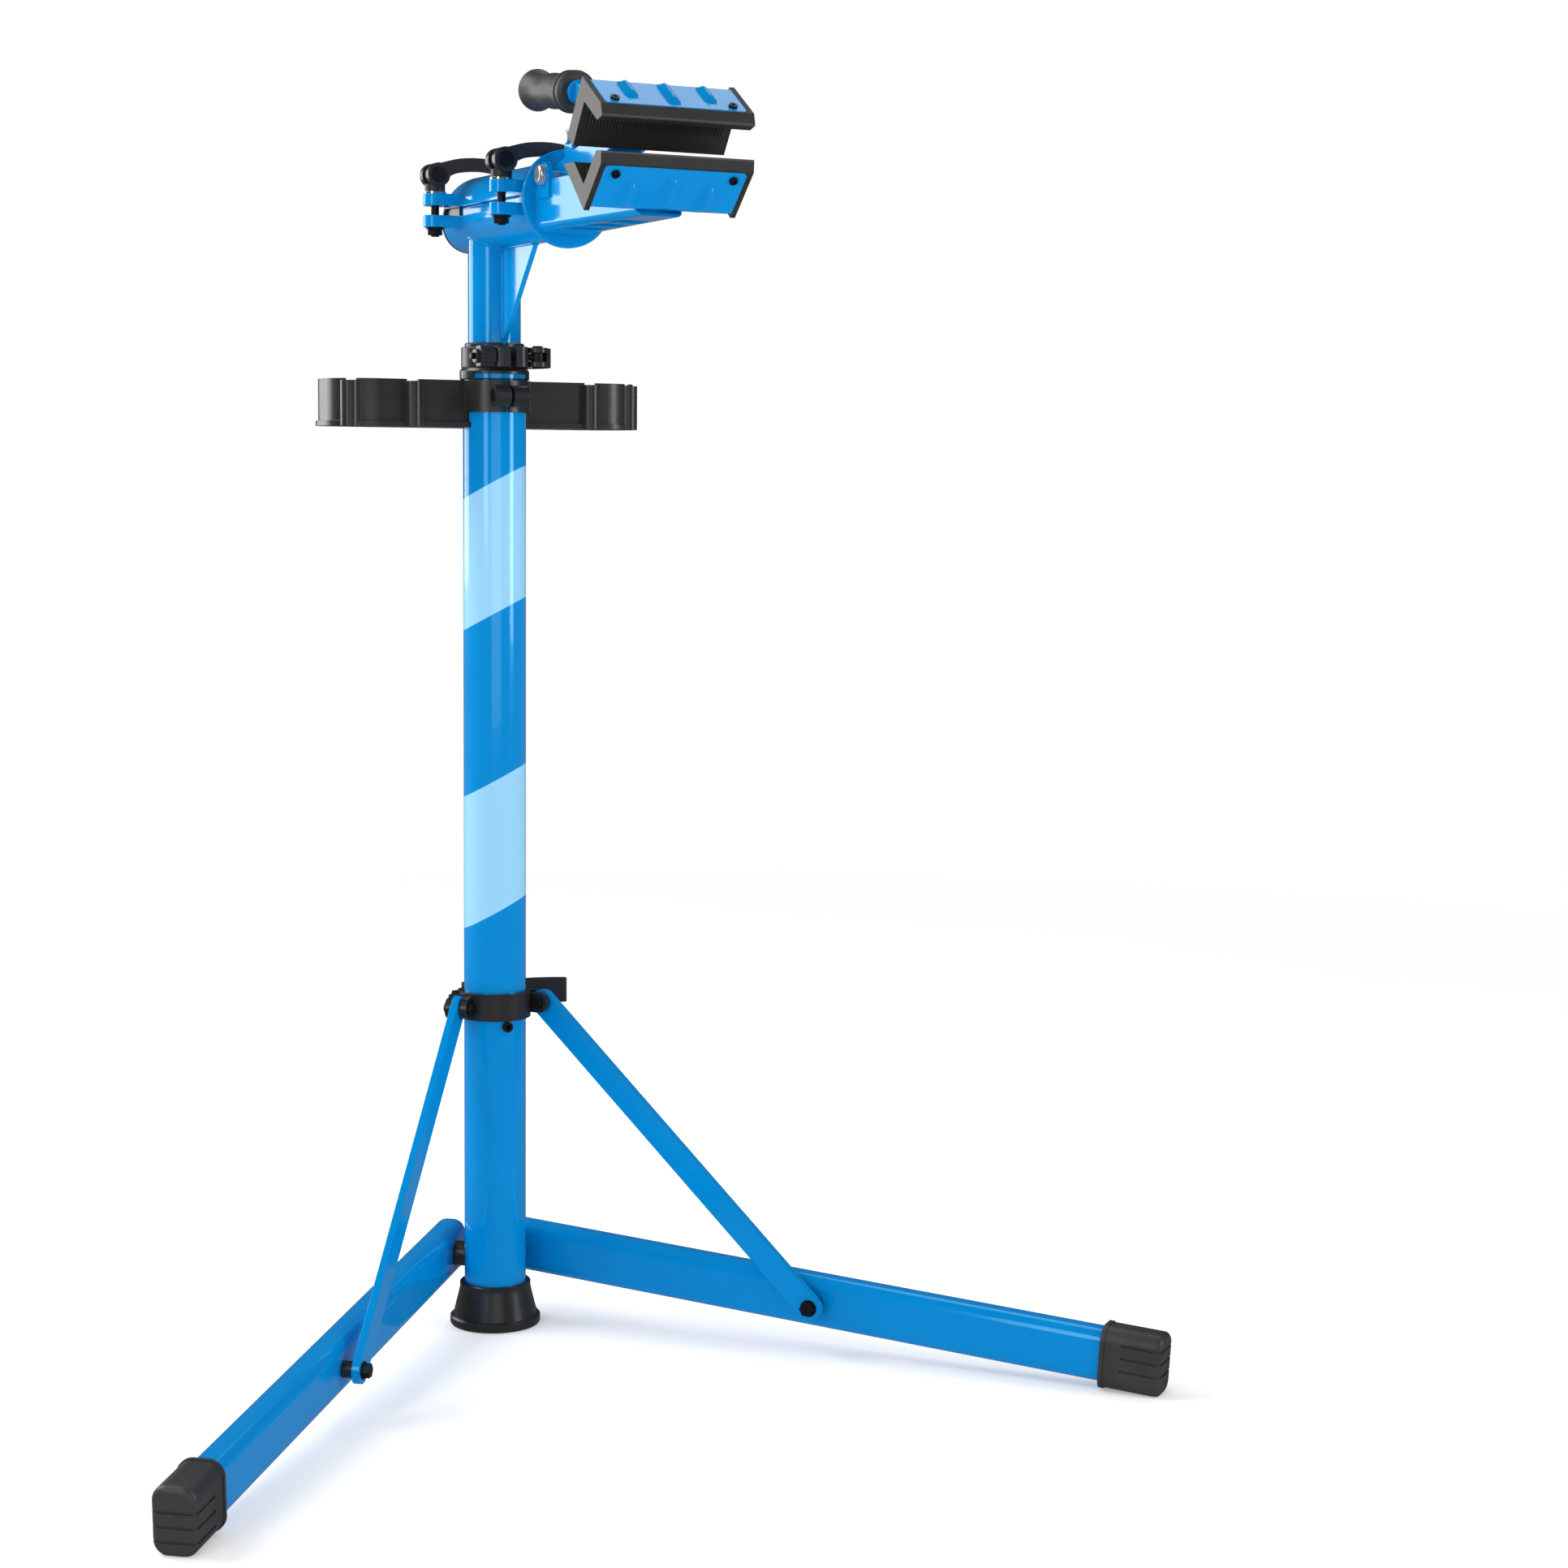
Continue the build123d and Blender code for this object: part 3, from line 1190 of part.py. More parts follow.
ROD_LEAN = 0.35
with BuildPart() as tension_rod:
    rod_start = Vector(0, -HANDLE_T, HANDLE_Z) + Vector(0, -ROD_LEAN, -1).normalized() * 8.0
    with BuildSketch(Plane(origin=rod_start, z_dir=(0, -ROD_LEAN, -1))):
        Circle(3.5)
    extrude(amount=15)
    nut_start = rod_start + Vector(0, -ROD_LEAN, -1).normalized() * 4.5
    with BuildSketch(Plane(origin=nut_start, z_dir=(0, -ROD_LEAN, -1))):
        RegularPolygon(6.5, 6)
    extrude(amount=5.5)
    with Locations((0, -HANDLE_T, HANDLE_Z)):
        Cylinder(8.5, 40, rotation=(0, 90, 0), mode=Mode.SUBTRACT)
save(tension_rod.part, "tension_rod")

with BuildPart() as handle_grip:
    with BuildSketch(Plane(grip_plane(0).origin, x_dir=grip_plane(0).z_dir, z_dir=(1, 0, 0))):
        with BuildLine():
            Line((0, 0), (0, GRIP_R + 1))
            ThreePointArc((0, GRIP_R + 1), (1, GRIP_R + 3), (3.5, GRIP_R + 4))
            Spline(
                (3.5, GRIP_R + 4),
                (10, GRIP_R + 2),
                (24, GRIP_R - 0.5),
                (42, GRIP_R + 1),
                (62, GRIP_R),
                (GRIP_LENGTH - 18, GRIP_R + 1),
            )
            Polyline(
                (GRIP_LENGTH - 18, GRIP_R + 1),
                (GRIP_LENGTH - 16.5, GRIP_R + 4),
                (GRIP_LENGTH - 12, GRIP_R + 4),
                (GRIP_LENGTH - 11, GRIP_R + 2),
                (GRIP_LENGTH - 9, GRIP_R + 2),
                (GRIP_LENGTH - 8, GRIP_R + 4),
                (GRIP_LENGTH - 3, GRIP_R + 4),
                (GRIP_LENGTH, GRIP_R + 1),
                (GRIP_LENGTH, 0),
                (0, 0),
            )
        make_face()
    grip_end = grip_plane(GRIP_LENGTH).origin
    revolve(axis=Axis(grip_plane(0).origin, grip_end - grip_plane(0).origin))
    with BuildSketch(grip_plane(5.5)):
        Circle(CORE_R + SLIDING_GAP)
    extrude(amount=GRIP_LENGTH, mode=Mode.SUBTRACT)
save(handle_grip.part, "handle_grip")
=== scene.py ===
import json
import math

import bmesh
import bpy
from mathutils import Matrix, Vector


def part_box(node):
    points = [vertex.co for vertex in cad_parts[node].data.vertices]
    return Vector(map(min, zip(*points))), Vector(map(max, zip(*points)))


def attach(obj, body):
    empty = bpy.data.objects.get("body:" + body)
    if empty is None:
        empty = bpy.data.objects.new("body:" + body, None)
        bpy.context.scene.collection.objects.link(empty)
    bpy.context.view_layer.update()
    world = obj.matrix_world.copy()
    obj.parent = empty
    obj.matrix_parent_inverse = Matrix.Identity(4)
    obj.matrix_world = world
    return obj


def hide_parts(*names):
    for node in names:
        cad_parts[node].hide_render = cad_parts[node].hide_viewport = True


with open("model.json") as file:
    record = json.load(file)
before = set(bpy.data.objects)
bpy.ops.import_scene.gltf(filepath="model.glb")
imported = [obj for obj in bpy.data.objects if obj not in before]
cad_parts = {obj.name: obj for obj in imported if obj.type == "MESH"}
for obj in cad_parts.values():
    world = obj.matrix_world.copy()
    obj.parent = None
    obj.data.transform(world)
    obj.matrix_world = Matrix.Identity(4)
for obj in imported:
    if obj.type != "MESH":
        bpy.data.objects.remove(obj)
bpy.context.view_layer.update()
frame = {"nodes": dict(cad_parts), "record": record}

# ------------------------------------------------------------------ materials

BLUE = (0.0, 0.240, 0.615, 1.0)
BLUE_DEEP = (0.0, 0.220, 0.575, 1.0)
PALE_BLUE = (0.30, 0.61, 0.86, 1.0)
PLASTIC = (0.013, 0.013, 0.014, 1.0)
PLASTIC_LIGHT = (0.019, 0.019, 0.021, 1.0)
RUBBER = (0.024, 0.024, 0.025, 1.0)
RUBBER_LIGHT = (0.036, 0.036, 0.038, 1.0)
PAD_GREY = (0.016, 0.016, 0.016, 1.0)
PAD_GREY_LIGHT = (0.022, 0.022, 0.021, 1.0)
# Painted light: paler grey laid on the pad end faces and front lip as if light falls on them.
PAD_PAINTED_LIGHT = (0.095, 0.090, 0.084, 1.0)
GLOSS_TINT = (0.30, 0.75, 1.0, 1.0)
OXIDE = (0.012, 0.012, 0.014, 1.0)
CHROME = (0.74, 0.75, 0.77, 1.0)
# Heights of the two pale bands at the tube's axis, and how steeply they climb across the view.
BAND_EDGES = ((0.408, 0.536), (0.696, 0.821))
BAND_SLOPE = 0.55
VIEW_RIGHT = (0.885, -0.465)
DRIFT_SCALE = 9.0
PEEL_SCALE = 520.0
SPECK_SCALE = 2600.0
SPECK_SHARE = 0.15
PEEL_DEPTH = 0.000018
PAINT_ROUGHNESS = (0.08, 0.14)
MOTTLE_SCALE = 22.0
PAD_GRAIN = 1300.0
PAD_GRAIN_DEPTH = 0.00003
PAD_ROUGHNESS = (0.5, 0.68)
# Painted light mask: how far a pad face must turn sideways to take the paler colour, and the width and
# strength of the paler front lip.
PAINTED_LIGHT_END_FACING = (0.55, 0.85)
PAINTED_LIGHT_LIP_BAND = 0.0012
PAINTED_LIGHT_LIP_SHARE = 0.5
STREAK_SCALE = 260.0
STREAK_STRETCH = (6.0, 6.0, 0.6)
STREAK_DEPTH = 0.000006
BLOTCH_SCALE = 60.0
BLOTCH_SHADE = 0.8
CUP_GRAIN = 900.0
CUP_GRAIN_DEPTH = 0.000008
CUP_ROUGHNESS = (0.12, 0.2)
CUP_PLASTIC_ROUGHER = 0.25


class Nodes:
    """Short helper that adds and joins shader nodes in one material."""

    def __init__(self, name):
        self.material = bpy.data.materials.new(name)
        self.material.use_nodes = True
        self.tree = self.material.node_tree
        self.shader = self.tree.nodes["Principled BSDF"]
        self.coords = self.add("ShaderNodeTexCoord").outputs["Object"]

    def add(self, kind, **settings):
        """New node; settings name its properties or its input sockets."""
        node = self.tree.nodes.new(kind)
        for key, value in settings.items():
            if hasattr(node, key):
                setattr(node, key, value)
            else:
                node.inputs[key.replace("_", " ")].default_value = value
        return node

    def join(self, output, target):
        """Link an output socket to an input socket."""
        self.tree.links.new(output, target)

    def noise(self, scale, detail=3.0, roughness=0.55, stretch=(1.0, 1.0, 1.0)):
        """Noise over object coordinates; scale is features per metre."""
        mapping = self.add("ShaderNodeMapping")
        mapping.inputs["Scale"].default_value = stretch
        self.join(self.coords, mapping.inputs["Vector"])
        texture = self.add("ShaderNodeTexNoise", Scale=scale, Detail=detail, Roughness=roughness)
        self.join(mapping.outputs["Vector"], texture.inputs["Vector"])
        return texture.outputs["Fac"]

    def remap(self, value, low, high, start=0.3, end=0.7):
        """Carry the range from start to end over to the range from low to high."""
        node = self.add("ShaderNodeMapRange")
        node.inputs["From Min"].default_value = start
        node.inputs["From Max"].default_value = end
        node.inputs["To Min"].default_value = low
        node.inputs["To Max"].default_value = high
        self.join(value, node.inputs["Value"])
        return node.outputs["Result"]

    def math(self, operation, first, second=0.0):
        """One arithmetic step between sockets or plain numbers."""
        node = self.add("ShaderNodeMath", operation=operation)
        for index, value in enumerate((first, second)):
            if isinstance(value, (int, float)):
                node.inputs[index].default_value = value
            else:
                self.join(value, node.inputs[index])
        return node.outputs[0]

    def mix(self, factor, first, second):
        """Blend of two colours."""
        node = self.add("ShaderNodeMix", data_type="RGBA")
        for socket, value in (("Factor", factor), ("A", first), ("B", second)):
            target = [s for s in node.inputs if s.name == socket and s.enabled][0]
            if isinstance(value, (int, float, tuple)):
                target.default_value = value
            else:
                self.join(value, target)
        return [s for s in node.outputs if s.enabled][0]

    def surface(self, height, distance, edge=0.0006):
        """Bump from height over softly rounded edges."""
        bevel = self.add("ShaderNodeBevel", samples=4)
        bevel.inputs["Radius"].default_value = edge
        bump = self.add("ShaderNodeBump")
        bump.inputs["Strength"].default_value = 1.0
        bump.inputs["Distance"].default_value = distance
        self.join(height, bump.inputs["Height"])
        self.join(bevel.outputs["Normal"], bump.inputs["Normal"])
        self.join(bump.outputs["Normal"], self.shader.inputs["Normal"])

    def set(self, **values):
        """Set or link inputs of the surface shader."""
        for key, value in values.items():
            target = self.shader.inputs[key.replace("_", " ")]
            if isinstance(value, (int, float, tuple)):
                target.default_value = value
            else:
                self.join(value, target)


def paint_base(name, colour_of, edge=0.0008):
    """Glossy powder coat with a faint orange peel."""
    nodes = Nodes(name)
    drift = nodes.noise(DRIFT_SCALE, detail=2.0)
    peel = nodes.noise(PEEL_SCALE, detail=1.5)
    speck = nodes.noise(SPECK_SCALE, detail=2.0)
    colour = colour_of(nodes, drift)
    height = nodes.math("ADD", peel, nodes.math("MULTIPLY", speck, SPECK_SHARE))
    nodes.set(Base_Color=colour, Roughness=nodes.remap(speck, *PAINT_ROUGHNESS))
    nodes.set(Metallic=0.0, Coat_Weight=0.25, Coat_Roughness=0.02)
    nodes.set(Specular_IOR_Level=0.60, Specular_Tint=GLOSS_TINT)
    nodes.surface(height, PEEL_DEPTH, edge=edge)
    return nodes.material


def plain_blue(nodes, drift):
    """Blue that drifts faintly between two depths."""
    return nodes.mix(nodes.remap(drift, 0.0, 1.0), BLUE, BLUE_DEEP)


def banded_blue(nodes, drift):
    """Blue with two slanting pale bands round the tube."""
    split = nodes.add("ShaderNodeSeparateXYZ")
    nodes.join(nodes.coords, split.inputs[0])
    across = nodes.math(
        "ADD",
        nodes.math("MULTIPLY", split.outputs["X"], VIEW_RIGHT[0]),
        nodes.math("MULTIPLY", split.outputs["Y"], VIEW_RIGHT[1]),
    )
    level = nodes.math("SUBTRACT", split.outputs["Z"], nodes.math("MULTIPLY", across, BAND_SLOPE))
    mask = 0.0
    for low, high in BAND_EDGES:
        inside = nodes.math(
            "MULTIPLY",
            nodes.math("GREATER_THAN", level, low),
            nodes.math("LESS_THAN", level, high),
        )
        mask = nodes.math("MAXIMUM", inside, mask)
    return nodes.mix(mask, plain_blue(nodes, drift), PALE_BLUE)


def grained(name, colour, lighter, rough_low, rough_high, grain, depth, edge=0.0006):
    """Moulded black plastic or rubber with a fine grain."""
    nodes = Nodes(name)
    drift = nodes.noise(MOTTLE_SCALE, detail=3.0)
    fine = nodes.noise(grain, detail=4.0, roughness=0.65)
    colour = nodes.mix(nodes.remap(drift, 0.0, 1.0), colour, lighter)
    nodes.set(Base_Color=colour, Roughness=nodes.remap(fine, rough_low, rough_high))
    nodes.set(Specular_IOR_Level=0.55)
    nodes.surface(fine, depth, edge=edge)
    return nodes.material


def pad_rubber_painted_light(name, node, lip_way):
    """Dark ribbed rubber with painted light: end faces and front lip painted paler as if lit from above,
    the faces inside the V left dark as painted shade; lip_way points out of the lip.
    """
    nodes = Nodes(name)
    drift = nodes.noise(MOTTLE_SCALE, detail=3.0)
    fine = nodes.noise(PAD_GRAIN, detail=4.0, roughness=0.65)
    dark = nodes.mix(nodes.remap(drift, 0.0, 1.0), PAD_GREY, PAD_GREY_LIGHT)
    texture = nodes.add("ShaderNodeTexCoord")
    split = nodes.add("ShaderNodeSeparateXYZ")
    nodes.join(texture.outputs["Normal"], split.inputs[0])
    sideways = nodes.math("ABSOLUTE", split.outputs["X"])
    lip_reach = max(lip_way.dot(vertex.co) for vertex in node.data.vertices)
    outward = nodes.add("ShaderNodeVectorMath", operation="DOT_PRODUCT")
    nodes.join(nodes.coords, outward.inputs[0])
    outward.inputs[1].default_value = lip_way
    # Painted light: the front lip and the sideways end faces get the paler colour as light falling on
    # them, and the faces inside the V stay dark as painted shade.
    on_lip = nodes.math("GREATER_THAN", outward.outputs["Value"], lip_reach - PAINTED_LIGHT_LIP_BAND)
    ends = nodes.remap(sideways, 0.0, 1.0, *PAINTED_LIGHT_END_FACING)
    pale = nodes.math("MAXIMUM", ends, nodes.math("MULTIPLY", on_lip, PAINTED_LIGHT_LIP_SHARE))
    nodes.set(Base_Color=nodes.mix(pale, dark, PAD_PAINTED_LIGHT))
    nodes.set(Roughness=nodes.remap(fine, *PAD_ROUGHNESS))
    nodes.set(Specular_IOR_Level=0.5)
    nodes.surface(fine, PAD_GRAIN_DEPTH, edge=0.0008)
    return nodes.material


def brushed(name, colour, rough_low, rough_high, metallic, edge=0.0004):
    """Metal with faint drawn streaks."""
    nodes = Nodes(name)
    streaks = nodes.noise(STREAK_SCALE, detail=4.0, stretch=STREAK_STRETCH)
    blotch = nodes.noise(BLOTCH_SCALE, detail=3.0)
    darker = tuple(value * BLOTCH_SHADE for value in colour[:3]) + (1.0,)
    nodes.set(
        Base_Color=nodes.mix(nodes.remap(blotch, 0.0, 1.0), colour, darker),
        Roughness=nodes.remap(streaks, rough_low, rough_high),
        Metallic=metallic,
    )
    nodes.surface(streaks, STREAK_DEPTH, edge=edge)
    return nodes.material


def two_tone(name, split_height, below, above):
    """Metal washer below a height, black plastic cup above it."""
    nodes = Nodes(name)
    split = nodes.add("ShaderNodeSeparateXYZ")
    nodes.join(nodes.coords, split.inputs[0])
    upper = nodes.math("GREATER_THAN", split.outputs["Z"], split_height)
    fine = nodes.noise(CUP_GRAIN, detail=3.0)
    washer_roughness = nodes.remap(fine, *CUP_ROUGHNESS)
    plastic_extra = nodes.math("MULTIPLY", upper, CUP_PLASTIC_ROUGHER)
    nodes.set(
        Base_Color=nodes.mix(upper, below, above),
        Metallic=nodes.math("SUBTRACT", 1.0, upper),
        Roughness=nodes.math("ADD", washer_roughness, plastic_extra),
    )
    nodes.surface(fine, CUP_GRAIN_DEPTH, edge=0.0004)
    return nodes.material


paint = paint_base("powder_coat_blue", plain_blue)
banded_paint = paint_base("powder_coat_banded", banded_blue)
plastic = grained(
    "moulded_black", PLASTIC, PLASTIC_LIGHT, rough_low=0.24, rough_high=0.36, grain=1500.0, depth=0.00002
)
rubber = grained(
    "black_rubber", RUBBER, RUBBER_LIGHT, rough_low=0.40, rough_high=0.56, grain=1100.0, depth=0.00004
)
oxide = brushed("black_oxide_steel", OXIDE, rough_low=0.3, rough_high=0.46, metallic=0.6)
chrome = brushed("bright_chrome", CHROME, rough_low=0.10, rough_high=0.2, metallic=0.8)

MATERIAL_OF_SLOT = {
    "blue_paint": paint,
    "black_plastic": plastic,
    "black_rubber": rubber,
    "black_steel": oxide,
    "chrome": chrome,
}
SLOT_OF_NODE = {
    part["node"]: part["material_slot"] for part in frame["record"]["subparts"]
}
CUP_WASHER = 0.0020
JAW_OPEN = math.radians(11.0)
LIP_TURN = math.radians(45.0)
LOWER_LIP_WAY = Vector((0.0, -math.cos(LIP_TURN), math.sin(LIP_TURN)))
UPPER_LIP_WAY = Vector((0.0, -math.cos(LIP_TURN - JAW_OPEN), -math.sin(LIP_TURN - JAW_OPEN)))


def dress_cad_nodes():
    """Give every CAD node its material."""
    cup_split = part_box("cam_cups")[0][2] + CUP_WASHER
    lower_pad = frame["nodes"]["lower_jaw_pad"]
    upper_pad = frame["nodes"]["upper_jaw_pad"]
    special = {
        "outer_mast_tube": banded_paint,
        "lower_jaw_pad": pad_rubber_painted_light("lower_pad_rubber_painted_light", lower_pad, LOWER_LIP_WAY),
        "upper_jaw_pad": pad_rubber_painted_light("upper_pad_rubber_painted_light", upper_pad, UPPER_LIP_WAY),
        "cam_cups": two_tone("cam_cup", cup_split, CHROME, PLASTIC),
    }
    for name, node in frame["nodes"].items():
        material = special.get(name, MATERIAL_OF_SLOT[SLOT_OF_NODE[name]])
        node.data.materials.clear()
        node.data.materials.append(material)


dress_cad_nodes()

# ------------------------------------------------------------------ edges of the CAD nodes

MERGE_GAP = 0.00002
FLAT_ANGLE = math.radians(1.5)
SHARP_ANGLE = math.radians(32.0)
EDGE_ROUND = {
    "mast_foot": 0.0015,
    "tool_tray": 0.0011,
    "height_clamp_band": 0.0009,
    "reducer_bush": 0.0009,
    "leg_collar_band": 0.0010,
    "height_cam_lever": 0.0022,
    "collar_cam_lever": 0.0022,
    "rear_cam_lever": 0.0022,
    "front_cam_lever": 0.0022,
    "height_clamp_knob": 0.0015,
    "left_foot_cap": 0.0022,
    "right_foot_cap": 0.0022,
    "lower_jaw_pad": 0.0014,
    "upper_jaw_pad": 0.0014,
    "arm_channel": 0.0012,
    "upper_jaw_arm": 0.0010,
    "arm_shaft": 0.0008,
    "head_tube": 0.0009,
    "head_bushes": 0.0007,
    "handle_lever": 0.0022,
    "left_brace_bar": 0.0009,
    "right_brace_bar": 0.0009,
}
EDGE_DEFAULT = 0.0005


def round_edges():
    """Real rounded edges on every CAD node, from weld, flat-face merge and bevel modifiers."""
    for name, node in frame["nodes"].items():
        weld = node.modifiers.new("weld", "WELD")
        weld.merge_threshold = MERGE_GAP
        merge = node.modifiers.new("merge_flats", "DECIMATE")
        merge.decimate_type = "DISSOLVE"
        merge.angle_limit = FLAT_ANGLE
        bevel = node.modifiers.new("edge_round", "BEVEL")
        bevel.width = EDGE_ROUND.get(name, EDGE_DEFAULT)
        bevel.segments = 3
        bevel.limit_method = "ANGLE"
        bevel.angle_limit = SHARP_ANGLE
        bevel.use_clamp_overlap = True
        bevel.harden_normals = False
        normals = node.modifiers.new("even_normals", "WEIGHTED_NORMAL")
        normals.keep_sharp = False
        for face in node.data.polygons:
            face.use_smooth = True


round_edges()

# ------------------------------------------------------------------ pieces made here

JOINTS = {joint["name"]: joint for joint in frame["record"]["behaviour"]["joints"]}


def joint_at(name):
    """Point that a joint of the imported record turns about."""
    return Vector(JOINTS[name]["pos_m"])


def add_piece(name, bm, material, body, stands_for=(), levels=1):
    """Link a bmesh as a smooth piece that rides on a CAD body."""
    bmesh.ops.recalc_face_normals(bm, faces=bm.faces)
    mesh = bpy.data.meshes.new(name)
    bm.to_mesh(mesh)
    bm.free()
    for face in mesh.polygons:
        face.use_smooth = True
    mesh.materials.append(material)
    piece = bpy.data.objects.new(name, mesh)
    bpy.context.collection.objects.link(piece)
    if levels:
        refine = piece.modifiers.new("refine", "SUBSURF")
        refine.levels = levels
        refine.render_levels = levels
    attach(piece, body)
    if stands_for:
        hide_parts(*stands_for)
    return piece


def loft(bm, rings, closed=False):
    """Skin rings of equal point count; open lofts get end caps."""
    made = [[bm.verts.new(point) for point in ring] for ring in rings]
    pairs = list(zip(made, made[1:]))
    if closed:
        pairs.append((made[-1], made[0]))
    for ring, following in pairs:
        count = len(ring)
        for index in range(count):
            after = (index + 1) % count
            bm.faces.new((ring[index], ring[after], following[after], following[index]))
    if not closed:
        bm.faces.new(made[0])
        bm.faces.new(list(reversed(made[-1])))


BEAD_STEP = 0.0035
BEAD_SIDES = 8
BEAD_HOLLOW = 0.82
BEAD_CREST = 0.22


def weld_bead(name, path, radius, body, closed=True):
    """Weld bead along a path, with the small overlapping ripples of a run of weld."""
    count = len(path)
    lengths = [0.0]
    for first, second in zip(path, path[1:] + path[:1]):
        lengths.append(lengths[-1] + (second - first).length)
    rings = []
    for index, point in enumerate(path):
        before = path[index - 1] if closed or index else point
        after = path[(index + 1) % count] if closed or index + 1 < count else point
        run = (after - before).normalized()
        side = run.orthogonal().normalized() if not rings else (side - run * side.dot(run)).normalized()
        up = run.cross(side)
        phase = (lengths[index] / BEAD_STEP) % 1.0
        swell = radius * (BEAD_HOLLOW + BEAD_CREST * math.sqrt(max(0.0, 1.0 - (2.0 * phase - 1.0) ** 2)))
        rings.append([
            point + (side * math.cos(turn) + up * math.sin(turn)) * swell
            for turn in (2 * math.pi * step / BEAD_SIDES for step in range(BEAD_SIDES))
        ])
    bm = bmesh.new()
    loft(bm, rings, closed=closed)
    add_piece(name, bm, paint, body, levels=1)


HEAD_AXIS = joint_at("arm_roll")
MAST_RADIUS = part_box("inner_mast_tube")[1][0]
HEAD_RADIUS = HEAD_AXIS.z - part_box("head_tube")[0][2]
SADDLE_STEPS = 180
RUN_STEPS = 60
CHANNEL_STEPS = 41
HEAD_BEAD = 0.0019
PLATE_BEAD = 0.0015
BEAD_OVERLAP = 0.004
PAST_GUSSET = 0.002
CHANNEL_HALF = 0.0302
CHANNEL_CORNER = 0.006
BEAD_ABOVE_AXIS = 0.008


def weld_head_to_mast():
    """Saddle-shaped bead where the mast tube meets the head tube."""
    saddle = []
    for step in range(SADDLE_STEPS):
        turn = 2 * math.pi * step / SADDLE_STEPS
        x = MAST_RADIUS * math.cos(turn)
        y = MAST_RADIUS * math.sin(turn)
        saddle.append(Vector((x, y, HEAD_AXIS.z - math.sqrt(HEAD_RADIUS**2 - x**2))))
    weld_bead("weld_head_tube", saddle, HEAD_BEAD, "upper_mast")


def weld_gusset():
    """Beads on both sides of the gusset, up the mast and along the head tube."""
    low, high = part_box("gusset_plate")
    half = high[0]
    mast_y = -math.sqrt(MAST_RADIUS**2 - half**2)
    head_z = HEAD_AXIS.z - math.sqrt(HEAD_RADIUS**2 - half**2)
    rise = (head_z - BEAD_OVERLAP - low[2]) / RUN_STEPS
    run = (low[1] - mast_y + BEAD_OVERLAP + PAST_GUSSET) / RUN_STEPS
    for side, hand in ((-1, "left"), (1, "right")):
        upright = []
        level = []
        for step in range(RUN_STEPS + 1):
            upright.append(Vector((side * half, mast_y, low[2] + rise * step)))
            level.append(Vector((side * half, mast_y - BEAD_OVERLAP + run * step, head_z)))
        weld_bead(f"weld_gusset_mast_{hand}", upright, PLATE_BEAD, "upper_mast", closed=False)
        weld_bead(f"weld_gusset_head_{hand}", level, PLATE_BEAD, "upper_mast", closed=False)


def weld_channel_to_disc():
    """Bead round the two sides and the floor of the arm channel, on the disc's face."""
    disc_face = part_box("arm_shaft")[0][1]
    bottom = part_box("arm_channel")[0][2]
    top = HEAD_AXIS.z + BEAD_ABOVE_AXIS
    side_height = top - bottom - CHANNEL_CORNER
    floor_width = 2 * (CHANNEL_HALF - CHANNEL_CORNER)
    last = CHANNEL_STEPS - 1
    outline = []
    for step in range(CHANNEL_STEPS):
        outline.append(Vector((-CHANNEL_HALF, disc_face, top - side_height * step / last)))
    for step in range(1, CHANNEL_STEPS):
        x = -CHANNEL_HALF + CHANNEL_CORNER + floor_width * step / CHANNEL_STEPS
        outline.append(Vector((x, disc_face, bottom)))
    for step in range(CHANNEL_STEPS):
        z = bottom + CHANNEL_CORNER + side_height * step / last
        outline.append(Vector((CHANNEL_HALF, disc_face, z)))
    weld_bead("weld_arm_disc", outline, PLATE_BEAD, "clamp_arm", closed=False)


weld_head_to_mast()
weld_gusset()
weld_channel_to_disc()

PLATE_THICK = 0.0025
PLATE_CORNER = 0.004
BEND_RADIUS = 0.005
RIB_RISE = 0.0046
RIB_HALF = 0.0072
RIB_START = 0.004
RIB_FADE = 0.007
RIB_PLACES = ((-0.036, 0.030), (0.0, 0.037), (0.036, 0.030))
PLATE_COLUMNS = 130
PLATE_ROWS = 26


def smooth_step(value):
    """Ease from 0 to 1."""
    value = min(1.0, max(0.0, value))
    return value * value * (3.0 - 2.0 * value)


def rib_height(x, along):
    """Height of the pressed ribs at a point of one limb, along from the bend."""
    best = 0.0
    for centre, length in RIB_PLACES:
        over = abs(x - centre) / RIB_HALF
        ends = min(along - RIB_START, RIB_START + length - along) / RIB_FADE
        best = max(best, smooth_step(1.0 - over) * smooth_step(ends))
    return best * RIB_RISE


